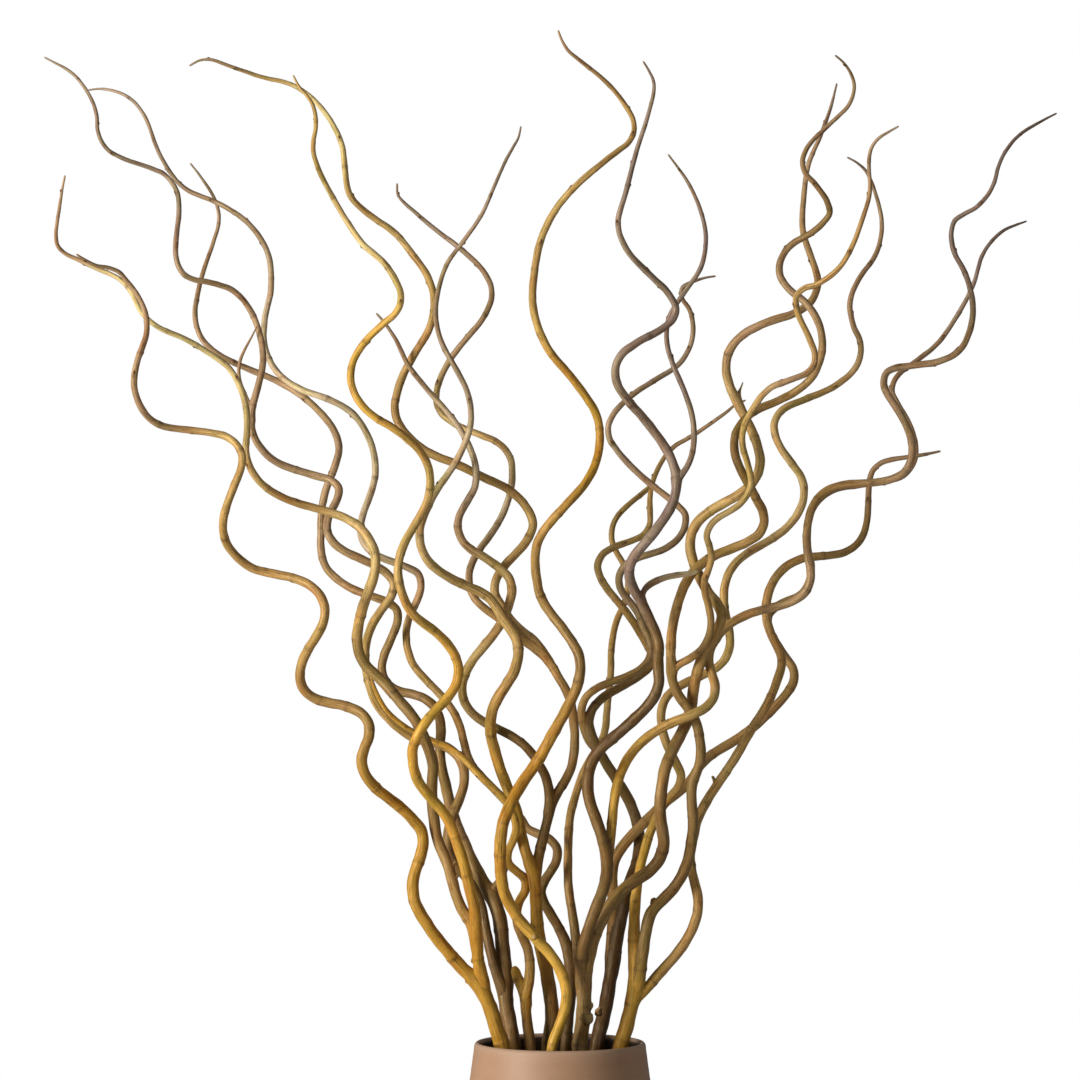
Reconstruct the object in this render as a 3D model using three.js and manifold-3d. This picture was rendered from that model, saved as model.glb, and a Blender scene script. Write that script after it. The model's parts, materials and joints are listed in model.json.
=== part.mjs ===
// Cut branches of curly willow standing in a round ceramic vase.
// Millimetres, +Z up, the origin at the centre of the vase's flat foot.
import * as THREE from 'three';
import { mergeVertices } from 'three/addons/utils/BufferGeometryUtils.js';
import Module from 'manifold-3d';

const wasm = await Module();
wasm.setup();

// ---- driving dimensions ----
const VASE_HEIGHT = 300;
const LIP_RADIUS = 85.5; // outside of the lip
const WALL = 6.5;
const FOOT_RADIUS = 80;
const FLOOR = 9; // thickness of the vase's floor
const STEM_FOOT = 13; // height of the cut ends above the table
const BEAD = 12; // spacing of the points that a stem's depth is worked out at
const RING = 27; // spacing of a stem's rings
const SIDES = 6; // sides of a stem
const CLEARANCE = 4.5; // least room kept between two stems
const SWAY = 13; // depth of a stem's corkscrew
const SWAY_PITCH = 190; // length of one turn of it
const FAN_LENGTH = 4600; // a stem that leans back also stands wider, by y / FAN_LENGTH,
const FAN_CENTRE = [-20, 802]; // about this x and z
const EASING_ROUNDS = 400;

// ---- the stems ----
// Each stem's bends are [x, height above the lip], from its base to its tip. `girth` is its radius at even
// steps along it. A branch's first stem has `foot`, its cut end's [x, y], and `depth`, its y at the lip;
// a fork starts on the stem named in `from`. `lean` is how far it goes back for each millimetre it rises.
const BRANCHES = {
  left_golden_branch: [
    {
      name: 'left low', foot: [-38, -18], depth: -24, lean: -0.16, turn: 0.4,
      girth: [9, 8.6, 7.9, 6.1, 5.6, 5.1, 4.6, 4.2, 3.6, 3.1, 1.6],
      bends: [
        [-58, -3], [-63, 12], [-70, 34], [-79, 52], [-88, 64], [-102, 78], [-115, 94], [-127, 109],
        [-137, 124], [-144, 137], [-147, 152], [-146, 167], [-141, 182], [-137, 196], [-138, 210],
        [-147, 222], [-158, 233], [-170, 243], [-182, 252], [-192, 263], [-198, 276], [-197, 289],
        [-192, 302], [-191, 316], [-198, 328], [-215, 336], [-235, 340], [-248, 345], [-257, 354],
        [-260, 368], [-256, 385], [-247, 400], [-239, 414], [-235, 430], [-239, 445], [-249, 456],
        [-264, 463], [-290, 469], [-308, 474], [-323, 485], [-333, 498], [-337, 514], [-335, 531],
        [-327, 553], [-319, 574], [-318, 586], [-324, 598], [-335, 606], [-355, 610], [-380, 613],
        [-400, 617], [-413, 626], [-422, 641], [-426, 659], [-422, 684], [-414, 706], [-414, 726],
        [-421, 744], [-433, 761], [-444, 772], [-465, 777], [-484, 788],
      ],
    },
    {
      name: 'left bright', from: 'left low', lean: -0.27, turn: 2.1,
      girth: [6.2, 5.6, 5.2, 4.9, 4.5, 4.1, 3.8, 3.5, 3.1, 2.5, 1.6],
      bends: [
        [-73, 47], [-76, 60], [-81, 77], [-83, 97], [-84, 117], [-86, 135], [-90, 152], [-94, 170],
        [-99, 187], [-105, 205], [-113, 224], [-123, 237], [-134, 250], [-143, 263], [-147, 279],
        [-147, 294], [-141, 309], [-131, 324], [-120, 336], [-110, 347], [-103, 361], [-102, 377],
        [-108, 392], [-119, 405], [-131, 415], [-144, 425], [-153, 437], [-159, 452], [-162, 468],
        [-160, 486], [-154, 502], [-144, 519], [-135, 535], [-130, 554], [-132, 576], [-141, 592],
        [-155, 605], [-170, 616], [-188, 627], [-202, 642], [-209, 661], [-207, 680], [-196, 699],
        [-178, 717], [-163, 731], [-159, 746], [-164, 761], [-177, 780], [-196, 797], [-214, 822],
        [-230, 850], [-242, 874], [-247, 894], [-244, 920], [-249, 941], [-260, 954], [-267, 967],
      ],
    },
    {
      name: 'left middle', from: 'left bright', lean: -0.05, turn: 3.6,
      girth: [5.4, 5.5, 5.5, 5.4, 5.1, 4.2, 3.5, 3, 2.6, 2.2, 1.5],
      bends: [
        [-83, 95], [-88, 115], [-99, 135], [-106, 154], [-110, 170], [-116, 187], [-123, 204],
        [-126, 222], [-128, 242], [-128, 260], [-127, 277], [-131, 292], [-137, 307], [-145, 322],
        [-156, 336], [-168, 350], [-180, 363], [-192, 374], [-200, 387], [-203, 402], [-201, 420],
        [-196, 438], [-190, 455], [-185, 472], [-185, 488], [-191, 503], [-201, 515], [-217, 525],
        [-238, 532], [-260, 538], [-280, 546], [-297, 557], [-308, 571], [-314, 590], [-313, 612],
        [-314, 634], [-320, 655], [-332, 675], [-351, 689], [-377, 704], [-402, 715], [-418, 729],
        [-430, 752], [-442, 764], [-460, 772], [-485, 784], [-500, 792], [-504, 805], [-501, 832],
        [-498, 852], [-495, 867],
      ],
    },
  ],
  left_brown_branch: [
    {
      name: 'brown left', foot: [-34, 16], depth: 16, lean: 0.26, turn: 1.2,
      girth: [7.8, 7.7, 7.5, 7.3, 5.4, 4.5, 4.1, 3.9, 3.4, 2.5, 1.5],
      bends: [
        [-47, -3], [-51, 22], [-54, 42], [-54, 62], [-56, 82], [-58, 102], [-60, 120], [-64, 136],
        [-71, 150], [-79, 163], [-87, 178], [-94, 194], [-101, 210], [-107, 226], [-111, 242],
        [-115, 260], [-119, 277], [-120, 294], [-119, 311], [-122, 328], [-130, 340], [-145, 347],
        [-161, 351], [-173, 359], [-178, 371], [-176, 386], [-170, 401], [-163, 418], [-162, 430],
        [-170, 438], [-186, 445], [-205, 452], [-222, 462], [-234, 475], [-239, 492], [-239, 512],
        [-238, 534], [-233, 556], [-225, 576], [-221, 594], [-227, 613], [-242, 632], [-261, 648],
        [-285, 662], [-314, 674], [-342, 688], [-358, 703], [-365, 726], [-362, 750], [-355, 776],
        [-347, 799], [-341, 822], [-345, 842], [-357, 862], [-370, 879],
      ],
    },
    {
      name: 'brown far left', from: 'brown left', lean: 0.1, turn: 4.9,
      girth: [5.2, 5, 4.8, 4.6, 4.4, 4.1, 3.7, 3.1, 2.7, 2.2, 1.5],
      bends: [
        [-54, 40], [-60, 57], [-66, 77], [-71, 97], [-75, 117], [-79, 137], [-86, 153], [-97, 168],
        [-107, 181], [-112, 195], [-112, 210], [-108, 224], [-102, 239], [-97, 254], [-96, 270],
        [-101, 284], [-112, 294], [-128, 299], [-146, 304], [-161, 314], [-174, 326], [-184, 340],
        [-190, 356], [-194, 374], [-195, 390], [-192, 406], [-186, 421], [-177, 434], [-169, 445],
        [-166, 457], [-173, 468], [-186, 477], [-203, 485], [-219, 493], [-230, 504], [-233, 517],
        [-228, 533], [-221, 549], [-224, 559], [-240, 565], [-264, 572], [-285, 581], [-300, 595],
        [-308, 612], [-308, 632], [-302, 656], [-297, 680], [-301, 710], [-311, 734], [-328, 752],
        [-352, 760], [-373, 765], [-383, 780], [-384, 802], [-381, 832], [-383, 850], [-395, 867],
        [-412, 875], [-438, 884], [-454, 894], [-462, 910], [-464, 930], [-472, 949], [-488, 969],
        [-503, 978], [-516, 985],
      ],
    },
    {
      name: 'brown spur', from: 'brown left', lean: 0, turn: 0, girth: [4, 3.8, 3.4, 2.6],
      bends: [[-71, 146], [-66, 153], [-60, 163], [-55, 172], [-52, 181]],
    },
    {
      name: 'brown twig', from: 'brown far left', lean: 0.3, turn: 0, girth: [2.1, 1.9, 1.7, 1.2],
      bends: [[-308, 622], [-312, 640], [-320, 661], [-321, 677], [-316, 691], [-309, 704], [-303, 716]],
    },
  ],
  slender_branch: [
    {
      name: 'slender', foot: [-14, -8], depth: -7, lean: 0.04, turn: 3.3,
      girth: [6.6, 6.3, 5.8, 5.2, 4.6, 3.8, 3, 2],
      bends: [
        [-30, -3], [-33, 22], [-34, 42], [-31, 60], [-30, 77], [-32, 92], [-38, 106], [-43, 120],
        [-42, 137], [-35, 151], [-35, 162], [-44, 171], [-52, 180], [-52, 189], [-47, 201], [-44, 216],
        [-49, 232], [-60, 247], [-74, 260], [-87, 273], [-98, 285], [-111, 294], [-126, 301],
        [-148, 311], [-160, 319], [-172, 330], [-181, 344], [-187, 358], [-191, 374],
      ],
    },
    {
      name: 'slender stub', from: 'slender', lean: 0.15, turn: 0, girth: [4.6, 4.9, 4.7],
      bends: [[-33, 38], [-38, 52], [-43, 66], [-46, 76]],
    },
  ],
  centre_branch: [
    {
      name: 'centre main', foot: [2, 10], depth: 13, lean: -0.02, turn: 5.5,
      girth: [8, 7.8, 7.4, 6.9, 5.6, 5.6, 5.2, 4.4, 3.2, 2.6, 2.1, 1.5],
      bends: [
        [-11, -3], [-8, 22], [-9, 42], [-12, 62], [-16, 82], [-20, 100], [-23, 120], [-24, 142],
        [-25, 160], [-30, 176], [-35, 192], [-39, 208], [-42, 226], [-48, 242], [-54, 258], [-60, 274],
        [-65, 290], [-69, 307], [-69, 324], [-64, 341], [-55, 355], [-46, 370], [-42, 386], [-43, 401],
        [-51, 415], [-60, 428], [-67, 440], [-80, 450], [-98, 458], [-115, 467], [-130, 479],
        [-139, 496], [-140, 514], [-134, 531], [-122, 554], [-106, 577], [-95, 599], [-89, 622],
        [-92, 648], [-104, 673], [-118, 699], [-124, 722], [-122, 750], [-113, 778], [-98, 799],
        [-78, 828], [-64, 860], [-53, 884], [-41, 906], [-39, 916],
      ],
    },
    {
      name: 'centre hooked', from: 'centre main', lean: 0.09, turn: 0.9,
      girth: [5.6, 4.9, 4.5, 4.5, 4.8, 4.5, 3.8, 3.2, 2.7, 1.8],
      bends: [
        [-25, 157], [-23, 174], [-20, 192], [-15, 212], [-11, 230], [-11, 247], [-14, 264], [-21, 278],
        [-31, 292], [-44, 303], [-60, 312], [-76, 320], [-90, 331], [-97, 345], [-97, 360], [-91, 376],
        [-81, 390], [-69, 404], [-59, 419], [-52, 435], [-48, 451], [-51, 464], [-61, 474], [-76, 485],
        [-92, 495], [-101, 508], [-101, 525], [-93, 540], [-85, 556], [-85, 579], [-95, 604],
        [-111, 628], [-134, 654], [-153, 679], [-163, 700], [-176, 720], [-184, 729],
      ],
    },
    {
      name: 'centre budded', from: 'centre hooked', lean: 0.2, turn: 2.8,
      girth: [4.7, 4.6, 4.4, 3.8, 3.5, 3.5, 3.3, 3, 2.7, 1.7],
      bends: [
        [-11, 230], [-4, 246], [4, 259], [11, 274], [14, 290], [15, 307], [13, 325], [11, 339],
        [5, 354], [-4, 369], [-13, 383], [-26, 394], [-40, 405], [-52, 416], [-65, 426], [-78, 436],
        [-87, 446], [-91, 460], [-89, 476], [-80, 493], [-69, 508], [-59, 524], [-52, 542], [-48, 562],
        [-50, 585], [-62, 599], [-82, 608], [-105, 618], [-121, 632], [-123, 652], [-112, 679],
        [-94, 703], [-75, 727], [-68, 749], [-76, 770], [-98, 792], [-120, 809], [-143, 828],
        [-162, 847], [-163, 859],
      ],
    },
    {
      name: 'centre tall', from: 'centre budded', lean: 0.03, turn: 1.9,
      girth: [4.2, 4.5, 4.4, 4.3, 4.1, 3.7, 3.4, 2.9, 2.3, 1.6],
      bends: [
        [-12, 382], [-18, 392], [-27, 403], [-39, 412], [-50, 423], [-57, 435], [-64, 445], [-65, 459],
        [-58, 473], [-47, 485], [-35, 499], [-27, 517], [-33, 534], [-51, 552], [-77, 565], [-104, 578],
        [-132, 590], [-153, 607], [-165, 630], [-160, 659], [-145, 689], [-130, 715], [-126, 742],
        [-133, 767], [-148, 788], [-165, 809], [-193, 829], [-210, 847], [-215, 872], [-218, 897],
        [-230, 922], [-248, 944], [-270, 958], [-298, 965], [-325, 974], [-355, 983], [-371, 976],
      ],
    },
  ],
  front_golden_branch: [
    {
      name: 'front golden', foot: [-12, -48], depth: -46, lean: -0.09, turn: 4.2,
      girth: [5.4, 5.2, 5.1, 5.5, 5.9, 5.8, 4.9, 4.4, 4.1, 3.9, 3.5, 2.6, 1.7],
      bends: [
        [-8, -6], [-3, 9], [2, 24], [6, 39], [6, 54], [1, 70], [-8, 85], [-19, 98], [-30, 110],
        [-40, 121], [-49, 135], [-56, 151], [-59, 168], [-60, 186], [-59, 204], [-56, 222], [-49, 239],
        [-40, 255], [-30, 270], [-20, 285], [-11, 301], [-1, 319], [8, 336], [16, 352], [20, 369],
        [19, 386], [11, 402], [0, 417], [-11, 431], [-19, 445], [-23, 462], [-25, 482], [-22, 500],
        [-11, 518], [6, 537], [24, 557], [36, 580], [40, 604], [36, 628], [22, 651], [6, 671],
        [-9, 689], [-21, 712], [-27, 737], [-26, 767], [-19, 802], [-4, 833], [22, 862], [50, 885],
        [71, 903], [74, 919], [61, 943], [43, 963], [22, 980], [6, 994], [-2, 1012],
      ],
    },
  ],
  back_branch: [
    {
      name: 'back left', foot: [8, 38], depth: 38, lean: 0.2, turn: 5,
      girth: [6.4, 6.2, 5.8, 4.9, 4.3, 4, 3.8, 3.5, 3.4, 3, 2.3, 1.5],
      bends: [
        [6, -3], [8, 20], [10, 42], [11, 62], [9, 82], [4, 102], [-5, 121], [-14, 136], [-19, 149],
        [-15, 162], [-7, 174], [-2, 188], [-7, 200], [-20, 207], [-33, 214], [-41, 226], [-52, 238],
        [-65, 252], [-79, 266], [-90, 280], [-95, 296], [-99, 312], [-105, 327], [-115, 342],
        [-126, 354], [-137, 365], [-147, 378], [-152, 392], [-154, 408], [-151, 424], [-144, 439],
        [-139, 454], [-142, 468], [-156, 476], [-175, 483], [-191, 492], [-199, 507], [-198, 524],
        [-191, 544], [-185, 564], [-186, 587], [-194, 610], [-208, 629], [-232, 643], [-260, 653],
        [-282, 669], [-295, 694], [-295, 724], [-289, 754], [-292, 788], [-310, 817], [-340, 838],
        [-377, 855], [-400, 887], [-416, 927], [-432, 945], [-455, 953], [-472, 952],
      ],
    },
    {
      name: 'back thin', from: 'back left', lean: 0.3, turn: 1.5,
      girth: [5.2, 4.6, 4.4, 4, 3.6, 3.4, 3.1, 2.8, 2.4, 1.6],
      bends: [
        [11, 62], [15, 77], [17, 94], [15, 112], [12, 130], [9, 150], [8, 170], [8, 192], [9, 212],
        [11, 230], [15, 245], [20, 260], [26, 275], [34, 289], [42, 302], [46, 317], [47, 334],
        [49, 352], [51, 370], [51, 388], [53, 405], [57, 422], [64, 438], [68, 454], [67, 470],
        [60, 484], [53, 497], [52, 512], [57, 525], [67, 536], [79, 546], [90, 555], [96, 569],
        [104, 584], [115, 596], [132, 606], [150, 618], [168, 631], [178, 639], [186, 642],
      ],
    },
  ],
  big_brown_branch: [
    {
      name: 'big right', foot: [14, -28], depth: -22, lean: -0.05, turn: 2.4,
      girth: [9, 8.6, 8.1, 6.6, 6, 5.8, 5.2, 4.9, 4.6, 4, 2.8, 1.5],
      bends: [
        [20, -3], [23, 20], [24, 42], [25, 62], [28, 82], [33, 102], [41, 121], [51, 138], [63, 152],
        [78, 163], [92, 173], [101, 187], [104, 203], [101, 219], [100, 236], [102, 254], [105, 272],
        [111, 289], [119, 304], [126, 318], [131, 334], [133, 350], [137, 368], [142, 384], [149, 398],
        [157, 411], [162, 425], [157, 438], [148, 450], [140, 465], [133, 481], [130, 498], [134, 514],
        [145, 527], [162, 538], [180, 548], [193, 560], [200, 577], [198, 595], [191, 613], [181, 632],
        [171, 653], [166, 674], [170, 692], [184, 708], [208, 720], [235, 729], [252, 742], [258, 761],
        [251, 785], [243, 812], [244, 847], [249, 879], [260, 905], [270, 932], [277, 959],
      ],
    },
    {
      name: 'big dark', from: 'big right', lean: -0.2, turn: 0.2,
      girth: [6, 5.9, 5.8, 5.7, 5.4, 5.1, 4.9, 4.5, 4, 3.4, 2.8, 2.3, 1.5],
      bends: [
        [23, 45], [21, 67], [22, 87], [26, 105], [32, 123], [39, 141], [45, 159], [47, 177], [45, 194],
        [40, 211], [34, 228], [29, 245], [28, 262], [31, 278], [40, 292], [54, 305], [69, 318],
        [83, 331], [94, 345], [99, 361], [98, 378], [99, 394], [95, 410], [88, 426], [81, 441],
        [73, 454], [69, 468], [72, 481], [80, 493], [90, 505], [101, 519], [111, 535], [116, 552],
        [115, 572], [108, 590], [95, 609], [81, 627], [66, 644], [56, 662], [59, 684], [78, 700],
        [102, 713], [116, 729], [109, 748], [89, 768], [68, 791], [58, 817], [66, 850], [76, 889],
        [88, 927], [94, 959], [83, 981],
      ],
    },
    {
      name: 'big far right', from: 'big dark', lean: 0.15, turn: 4,
      girth: [4.8, 4.9, 4.7, 4.5, 4.2, 4, 3.7, 3.4, 2.8, 2.1, 1.5],
      bends: [
        [47, 178], [50, 199], [52, 219], [54, 239], [57, 257], [63, 274], [72, 289], [84, 302],
        [98, 312], [114, 320], [131, 327], [145, 334], [154, 345], [155, 359], [150, 373], [149, 387],
        [155, 401], [164, 413], [178, 423], [195, 430], [215, 435], [235, 442], [247, 452], [251, 467],
        [248, 486], [247, 505], [249, 524], [255, 540], [268, 552], [288, 558], [310, 559], [332, 563],
        [347, 573], [352, 588], [351, 604], [344, 621], [334, 638], [324, 656], [328, 671], [350, 676],
        [380, 681], [400, 692], [410, 712], [413, 737], [406, 767], [393, 794], [394, 820], [418, 836],
        [432, 854], [441, 882], [457, 905], [480, 920], [497, 929],
      ],
    },
    {
      name: 'big inner', from: 'big dark', lean: 0.1, turn: 3, girth: [3, 2.8, 2.5, 2.4, 2.1, 1.4],
      bends: [
        [116, 560], [124, 570], [131, 584], [134, 602], [132, 627], [124, 652], [114, 675], [107, 700],
        [109, 724], [124, 749], [141, 775], [146, 804], [141, 830], [129, 858], [108, 888],
      ],
    },
    {
      name: 'big spur', from: 'big dark', lean: 0.4, turn: 0, girth: [3.5, 3.4, 3, 2.4],
      bends: [[81, 443], [86, 454], [96, 461], [111, 466], [127, 468], [139, 471]],
    },
    {
      name: 'big twig', from: 'big right', lean: 0.3, turn: 0, girth: [1.8, 1.5, 1.1],
      bends: [[181, 634], [179, 646], [181, 655], [183, 660]],
    },
  ],
  dark_branch: [
    {
      name: 'dark inner', foot: [30, 24], depth: 22, lean: 0.24, turn: 0.6,
      girth: [7.6, 7.5, 7.4, 7.2, 6, 5.6, 4.7, 4.2, 3.8, 2.8],
      bends: [
        [37, -3], [42, 20], [47, 42], [50, 62], [54, 82], [57, 102], [61, 122], [65, 142], [70, 160],
        [76, 177], [79, 194], [79, 210], [75, 226], [68, 243], [59, 259], [49, 274], [40, 289],
        [33, 304], [29, 320], [33, 334], [44, 345], [59, 354], [74, 363], [87, 372], [93, 384],
        [87, 397], [79, 411], [70, 425], [59, 439], [48, 452], [40, 466], [38, 479], [45, 490],
        [60, 497], [76, 503], [88, 512], [90, 527], [90, 542], [91, 554],
      ],
    },
    {
      name: 'dark looped', from: 'dark inner', lean: 0.1, turn: 2.2,
      girth: [4.2, 4, 4, 3.9, 3.6, 3.5, 3.4, 3, 2.8, 2.5, 1.6],
      bends: [
        [38, 291], [30, 300], [24, 314], [21, 329], [25, 343], [36, 353], [51, 360], [68, 366],
        [83, 375], [91, 388], [89, 402], [83, 416], [77, 431], [68, 442], [60, 454], [60, 468],
        [68, 479], [83, 486], [100, 491], [115, 500], [124, 513], [125, 528], [115, 539], [102, 549],
        [87, 561], [70, 577], [56, 593], [48, 609], [53, 627], [71, 646], [95, 662], [120, 679],
        [132, 702], [131, 729], [120, 751], [137, 762], [156, 766],
      ],
    },
    {
      name: 'dark far right', from: 'dark inner', lean: 0.27, turn: 5.2,
      girth: [5.8, 5.5, 5.2, 4.9, 4.5, 4.1, 3.7, 3.3, 2.8, 2.4, 1.6],
      bends: [
        [51, 70], [51, 87], [52, 107], [53, 127], [53, 147], [52, 165], [54, 180], [62, 194],
        [73, 208], [85, 220], [96, 231], [108, 242], [121, 252], [132, 263], [140, 276], [151, 287],
        [166, 296], [182, 306], [197, 318], [211, 331], [224, 345], [233, 359], [234, 371], [226, 384],
        [217, 398], [209, 413], [209, 427], [222, 439], [239, 446], [249, 459], [251, 476], [247, 497],
        [248, 520], [256, 539], [273, 552], [297, 557], [320, 560], [342, 566], [354, 581], [355, 599],
        [349, 618], [339, 636], [332, 652], [338, 667], [355, 680], [378, 699], [400, 731], [414, 759],
        [424, 790], [443, 811], [467, 821],
      ],
    },
  ],
  right_golden_branch: [
    {
      name: 'right outer', foot: [44, -6], depth: -3, lean: 0.05, turn: 1,
      girth: [8.6, 8.4, 8.2, 7, 4.7, 4.5, 4.4, 4.3, 4.1, 3.8, 3.1, 2.5, 1.5],
      bends: [
        [60, -6], [66, 14], [71, 34], [74, 54], [75, 74], [74, 94], [74, 114], [75, 134], [77, 154],
        [80, 174], [85, 192], [90, 209], [97, 225], [106, 240], [117, 252], [121, 266], [115, 281],
        [108, 295], [103, 310], [101, 325], [104, 340], [114, 352], [129, 361], [145, 368], [159, 376],
        [168, 389], [170, 405], [167, 422], [164, 439], [165, 457], [172, 474], [186, 488], [205, 499],
        [223, 511], [237, 527], [244, 545], [242, 563], [230, 581], [219, 598], [214, 616], [221, 631],
        [246, 643], [275, 656], [296, 675], [301, 697], [293, 718], [290, 740], [299, 763], [316, 788],
        [322, 816], [316, 847], [306, 871], [293, 882], [287, 885],
      ],
    },
    {
      name: 'right dark', from: 'right outer', lean: -0.14, turn: 3.9,
      girth: [6.3, 5.8, 5.3, 4.9, 4.9, 4.8, 4.5, 4.1, 3.8, 3.6, 3, 2.2, 1.5],
      bends: [
        [74, 45], [78, 57], [81, 77], [84, 97], [87, 116], [92, 131], [103, 142], [114, 154],
        [123, 169], [129, 186], [132, 204], [133, 222], [132, 239], [132, 256], [137, 271], [141, 286],
        [140, 302], [137, 317], [130, 331], [121, 343], [114, 357], [111, 374], [111, 392], [112, 410],
        [115, 428], [120, 445], [127, 461], [137, 474], [152, 485], [171, 493], [189, 501], [202, 512],
        [204, 527], [197, 542], [189, 557], [181, 572], [175, 589], [175, 606], [183, 620], [195, 631],
        [215, 640], [235, 650], [252, 665], [262, 690], [260, 715], [247, 738], [227, 755], [219, 772],
        [228, 794], [255, 812], [270, 830], [260, 852], [243, 874], [247, 894], [270, 918], [290, 939],
        [294, 960], [284, 979], [275, 987],
      ],
    },
    {
      name: 'right low', from: 'right outer', lean: 0.12, turn: 0.1,
      girth: [5.4, 5.2, 4.9, 4.9, 4.6, 4.5, 4.6, 4.4, 3.7, 2.9, 1.9],
      bends: [
        [73, 40], [88, 55], [100, 69], [114, 85], [126, 101], [134, 117], [138, 134], [137, 150],
        [133, 166], [130, 184], [133, 202], [137, 220], [144, 236], [153, 251], [164, 267], [175, 284],
        [185, 301], [195, 318], [205, 334], [213, 350], [219, 367], [222, 382], [216, 398], [209, 414],
        [206, 431], [208, 447], [215, 463], [227, 476], [244, 484], [265, 486], [285, 490], [299, 500],
        [306, 515], [308, 534], [309, 553], [312, 570], [323, 580], [342, 584], [362, 587], [381, 591],
      ],
    },
    {
      name: 'right slender', from: 'right dark', lean: -0.36, turn: 5.7,
      girth: [4, 3.6, 3.3, 3.2, 3.2, 3.1, 3, 2.6, 2.1, 1.5],
      bends: [
        [112, 370], [123, 380], [137, 388], [147, 401], [151, 417], [149, 434], [145, 450], [145, 465],
        [151, 478], [150, 494], [147, 508], [154, 521], [170, 531], [184, 542], [191, 558], [188, 577],
        [183, 595], [183, 612], [190, 628], [199, 642], [210, 654], [233, 663], [251, 672], [255, 686],
        [247, 709], [237, 732], [238, 750], [258, 758], [278, 773], [292, 795], [302, 822], [310, 850],
        [309, 882], [314, 899], [327, 909], [339, 916],
      ],
    },
  ],
};

const LOOKS = {
  vase: { color: 0xb08a6c, roughness: 0.75 },
  left_golden_branch: { color: 0xb8873f, roughness: 0.6 },
  left_brown_branch: { color: 0x8a6a48, roughness: 0.7 },
  slender_branch: { color: 0x7d6238, roughness: 0.7 },
  centre_branch: { color: 0x936f43, roughness: 0.65 },
  front_golden_branch: { color: 0xbf9048, roughness: 0.55 },
  back_branch: { color: 0x6f5842, roughness: 0.7 },
  big_brown_branch: { color: 0x8b6747, roughness: 0.65 },
  dark_branch: { color: 0x64503f, roughness: 0.7 },
  right_golden_branch: { color: 0xa87c42, roughness: 0.6 },
};

// ---- routes ----

// The value at t (0 to 1) of a list of values at even steps.
function along(values, t) {
  const place = Math.min(Math.max(t, 0), 1) * (values.length - 1);
  const step = Math.min(Math.floor(place), values.length - 2);
  return values[step] + (values[step + 1] - values[step]) * (place - step);
}

// A row of evenly spaced beads on the smooth line through a stem's bends, as { x, h, y, r, s }.
function layBeads(stem, parent) {
  const flat = stem.bends.map(([x, h]) => new THREE.Vector3(x, 0, h));
  if (stem.foot) flat.unshift(new THREE.Vector3(stem.foot[0], 0, STEM_FOOT - VASE_HEIGHT));
  const curve = new THREE.CatmullRomCurve3(flat, false, 'centripetal');
  curve.arcLengthDivisions = 12 * flat.length;
  const length = curve.getLength();
  const count = Math.round(length / BEAD);
  const beads = curve.getSpacedPoints(count).map((p, i) => ({
    x: p.x, h: p.z, y: 0, r: along(stem.girth, i / count), s: (length * i) / count,
  }));
  const start = parent ? nearestBead(parent, beads[0]) : null;
  for (const bead of beads) bead.y = startDepth(stem, bead, start);
  return { ...stem, beads, length, start };
}

function nearestBead(parent, spot) {
  const gap = (bead) => Math.hypot(bead.x - spot.x, bead.h - spot.h);
  return parent.beads.reduce((best, bead) => (gap(bead) < gap(best) ? bead : best));
}

// A bead's depth before the stems are eased apart: the straight lean plus the corkscrew's sway.
function startDepth(stem, bead, start) {
  if (stem.foot && bead.h < 0) {
    const up = (bead.h + VASE_HEIGHT - STEM_FOOT) / (VASE_HEIGHT - STEM_FOOT);
    return stem.foot[1] + (stem.depth - stem.foot[1]) * up;
  }
  const from = start ? start.y : stem.depth;
  const rise = bead.h - (start ? start.h : 0);
  const run = Math.max(0, bead.s - (stem.foot ? VASE_HEIGHT : 0));
  const growth = Math.min(1, run / 260);
  return from + stem.lean * rise + SWAY * growth * Math.sin(stem.turn + (2 * Math.PI * run) / SWAY_PITCH);
}

// Where a bead stands: stems that lean back also stand a little wider, more so the higher they are out
// of the vase's floor.
function place(bead) {
  const free = Math.min(1, 1 + bead.h / (VASE_HEIGHT - STEM_FOOT));
  const widen = 1 + (free * bead.y) / FAN_LENGTH;
  const z = VASE_HEIGHT + bead.h;
  return [
    FAN_CENTRE[0] + (bead.x - FAN_CENTRE[0]) * widen,
    bead.y,
    FAN_CENTRE[1] + (z - FAN_CENTRE[1]) * widen,
  ];
}

// Pairs of beads that lie close in front view, apart from those at a fork's own start.
function closePairs(stems) {
  const beads = stems.flatMap((stem) => stem.beads.map((bead) => ({ bead, stem })));
  const pairs = [];
  for (let i = 0; i < beads.length; i += 1) {
    for (let j = i + 1; j < beads.length; j += 1) {
      const [a, b] = [beads[i], beads[j]];
      if (a.stem === b.stem) continue;
      const reach = a.bead.r + b.bead.r + CLEARANCE + 14;
      if (Math.hypot(a.bead.x - b.bead.x, a.bead.h - b.bead.h) > reach) continue;
      if (b.stem.from === a.stem.name && b.bead.s < 50) continue;
      if (a.stem.from === b.stem.name && a.bead.s < 50) continue;
      if (a.stem.from && a.stem.from === b.stem.from && Math.min(a.bead.s, b.bead.s) < 80) continue;
      pairs.push([a.bead, b.bead]);
    }
  }
  return pairs;
}

// Two beads that are too close push each other forwards and back.
function pushApart([a, b]) {
  const [p, q] = [place(a), place(b)];
  const side = Math.hypot(p[0] - q[0], p[2] - q[2]);
  const depth = p[1] - q[1];
  const need = a.r + b.r + CLEARANCE;
  if (Math.hypot(side, depth) >= need) return;
  const short = Math.sqrt(Math.max(0, need * need - side * side)) - Math.abs(depth);
  const way = depth < 0 ? -1 : 1;
  a.push += way * short * 0.5;
  b.push -= way * short * 0.5;
  a.hits += 1;
  b.hits += 1;
}

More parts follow.
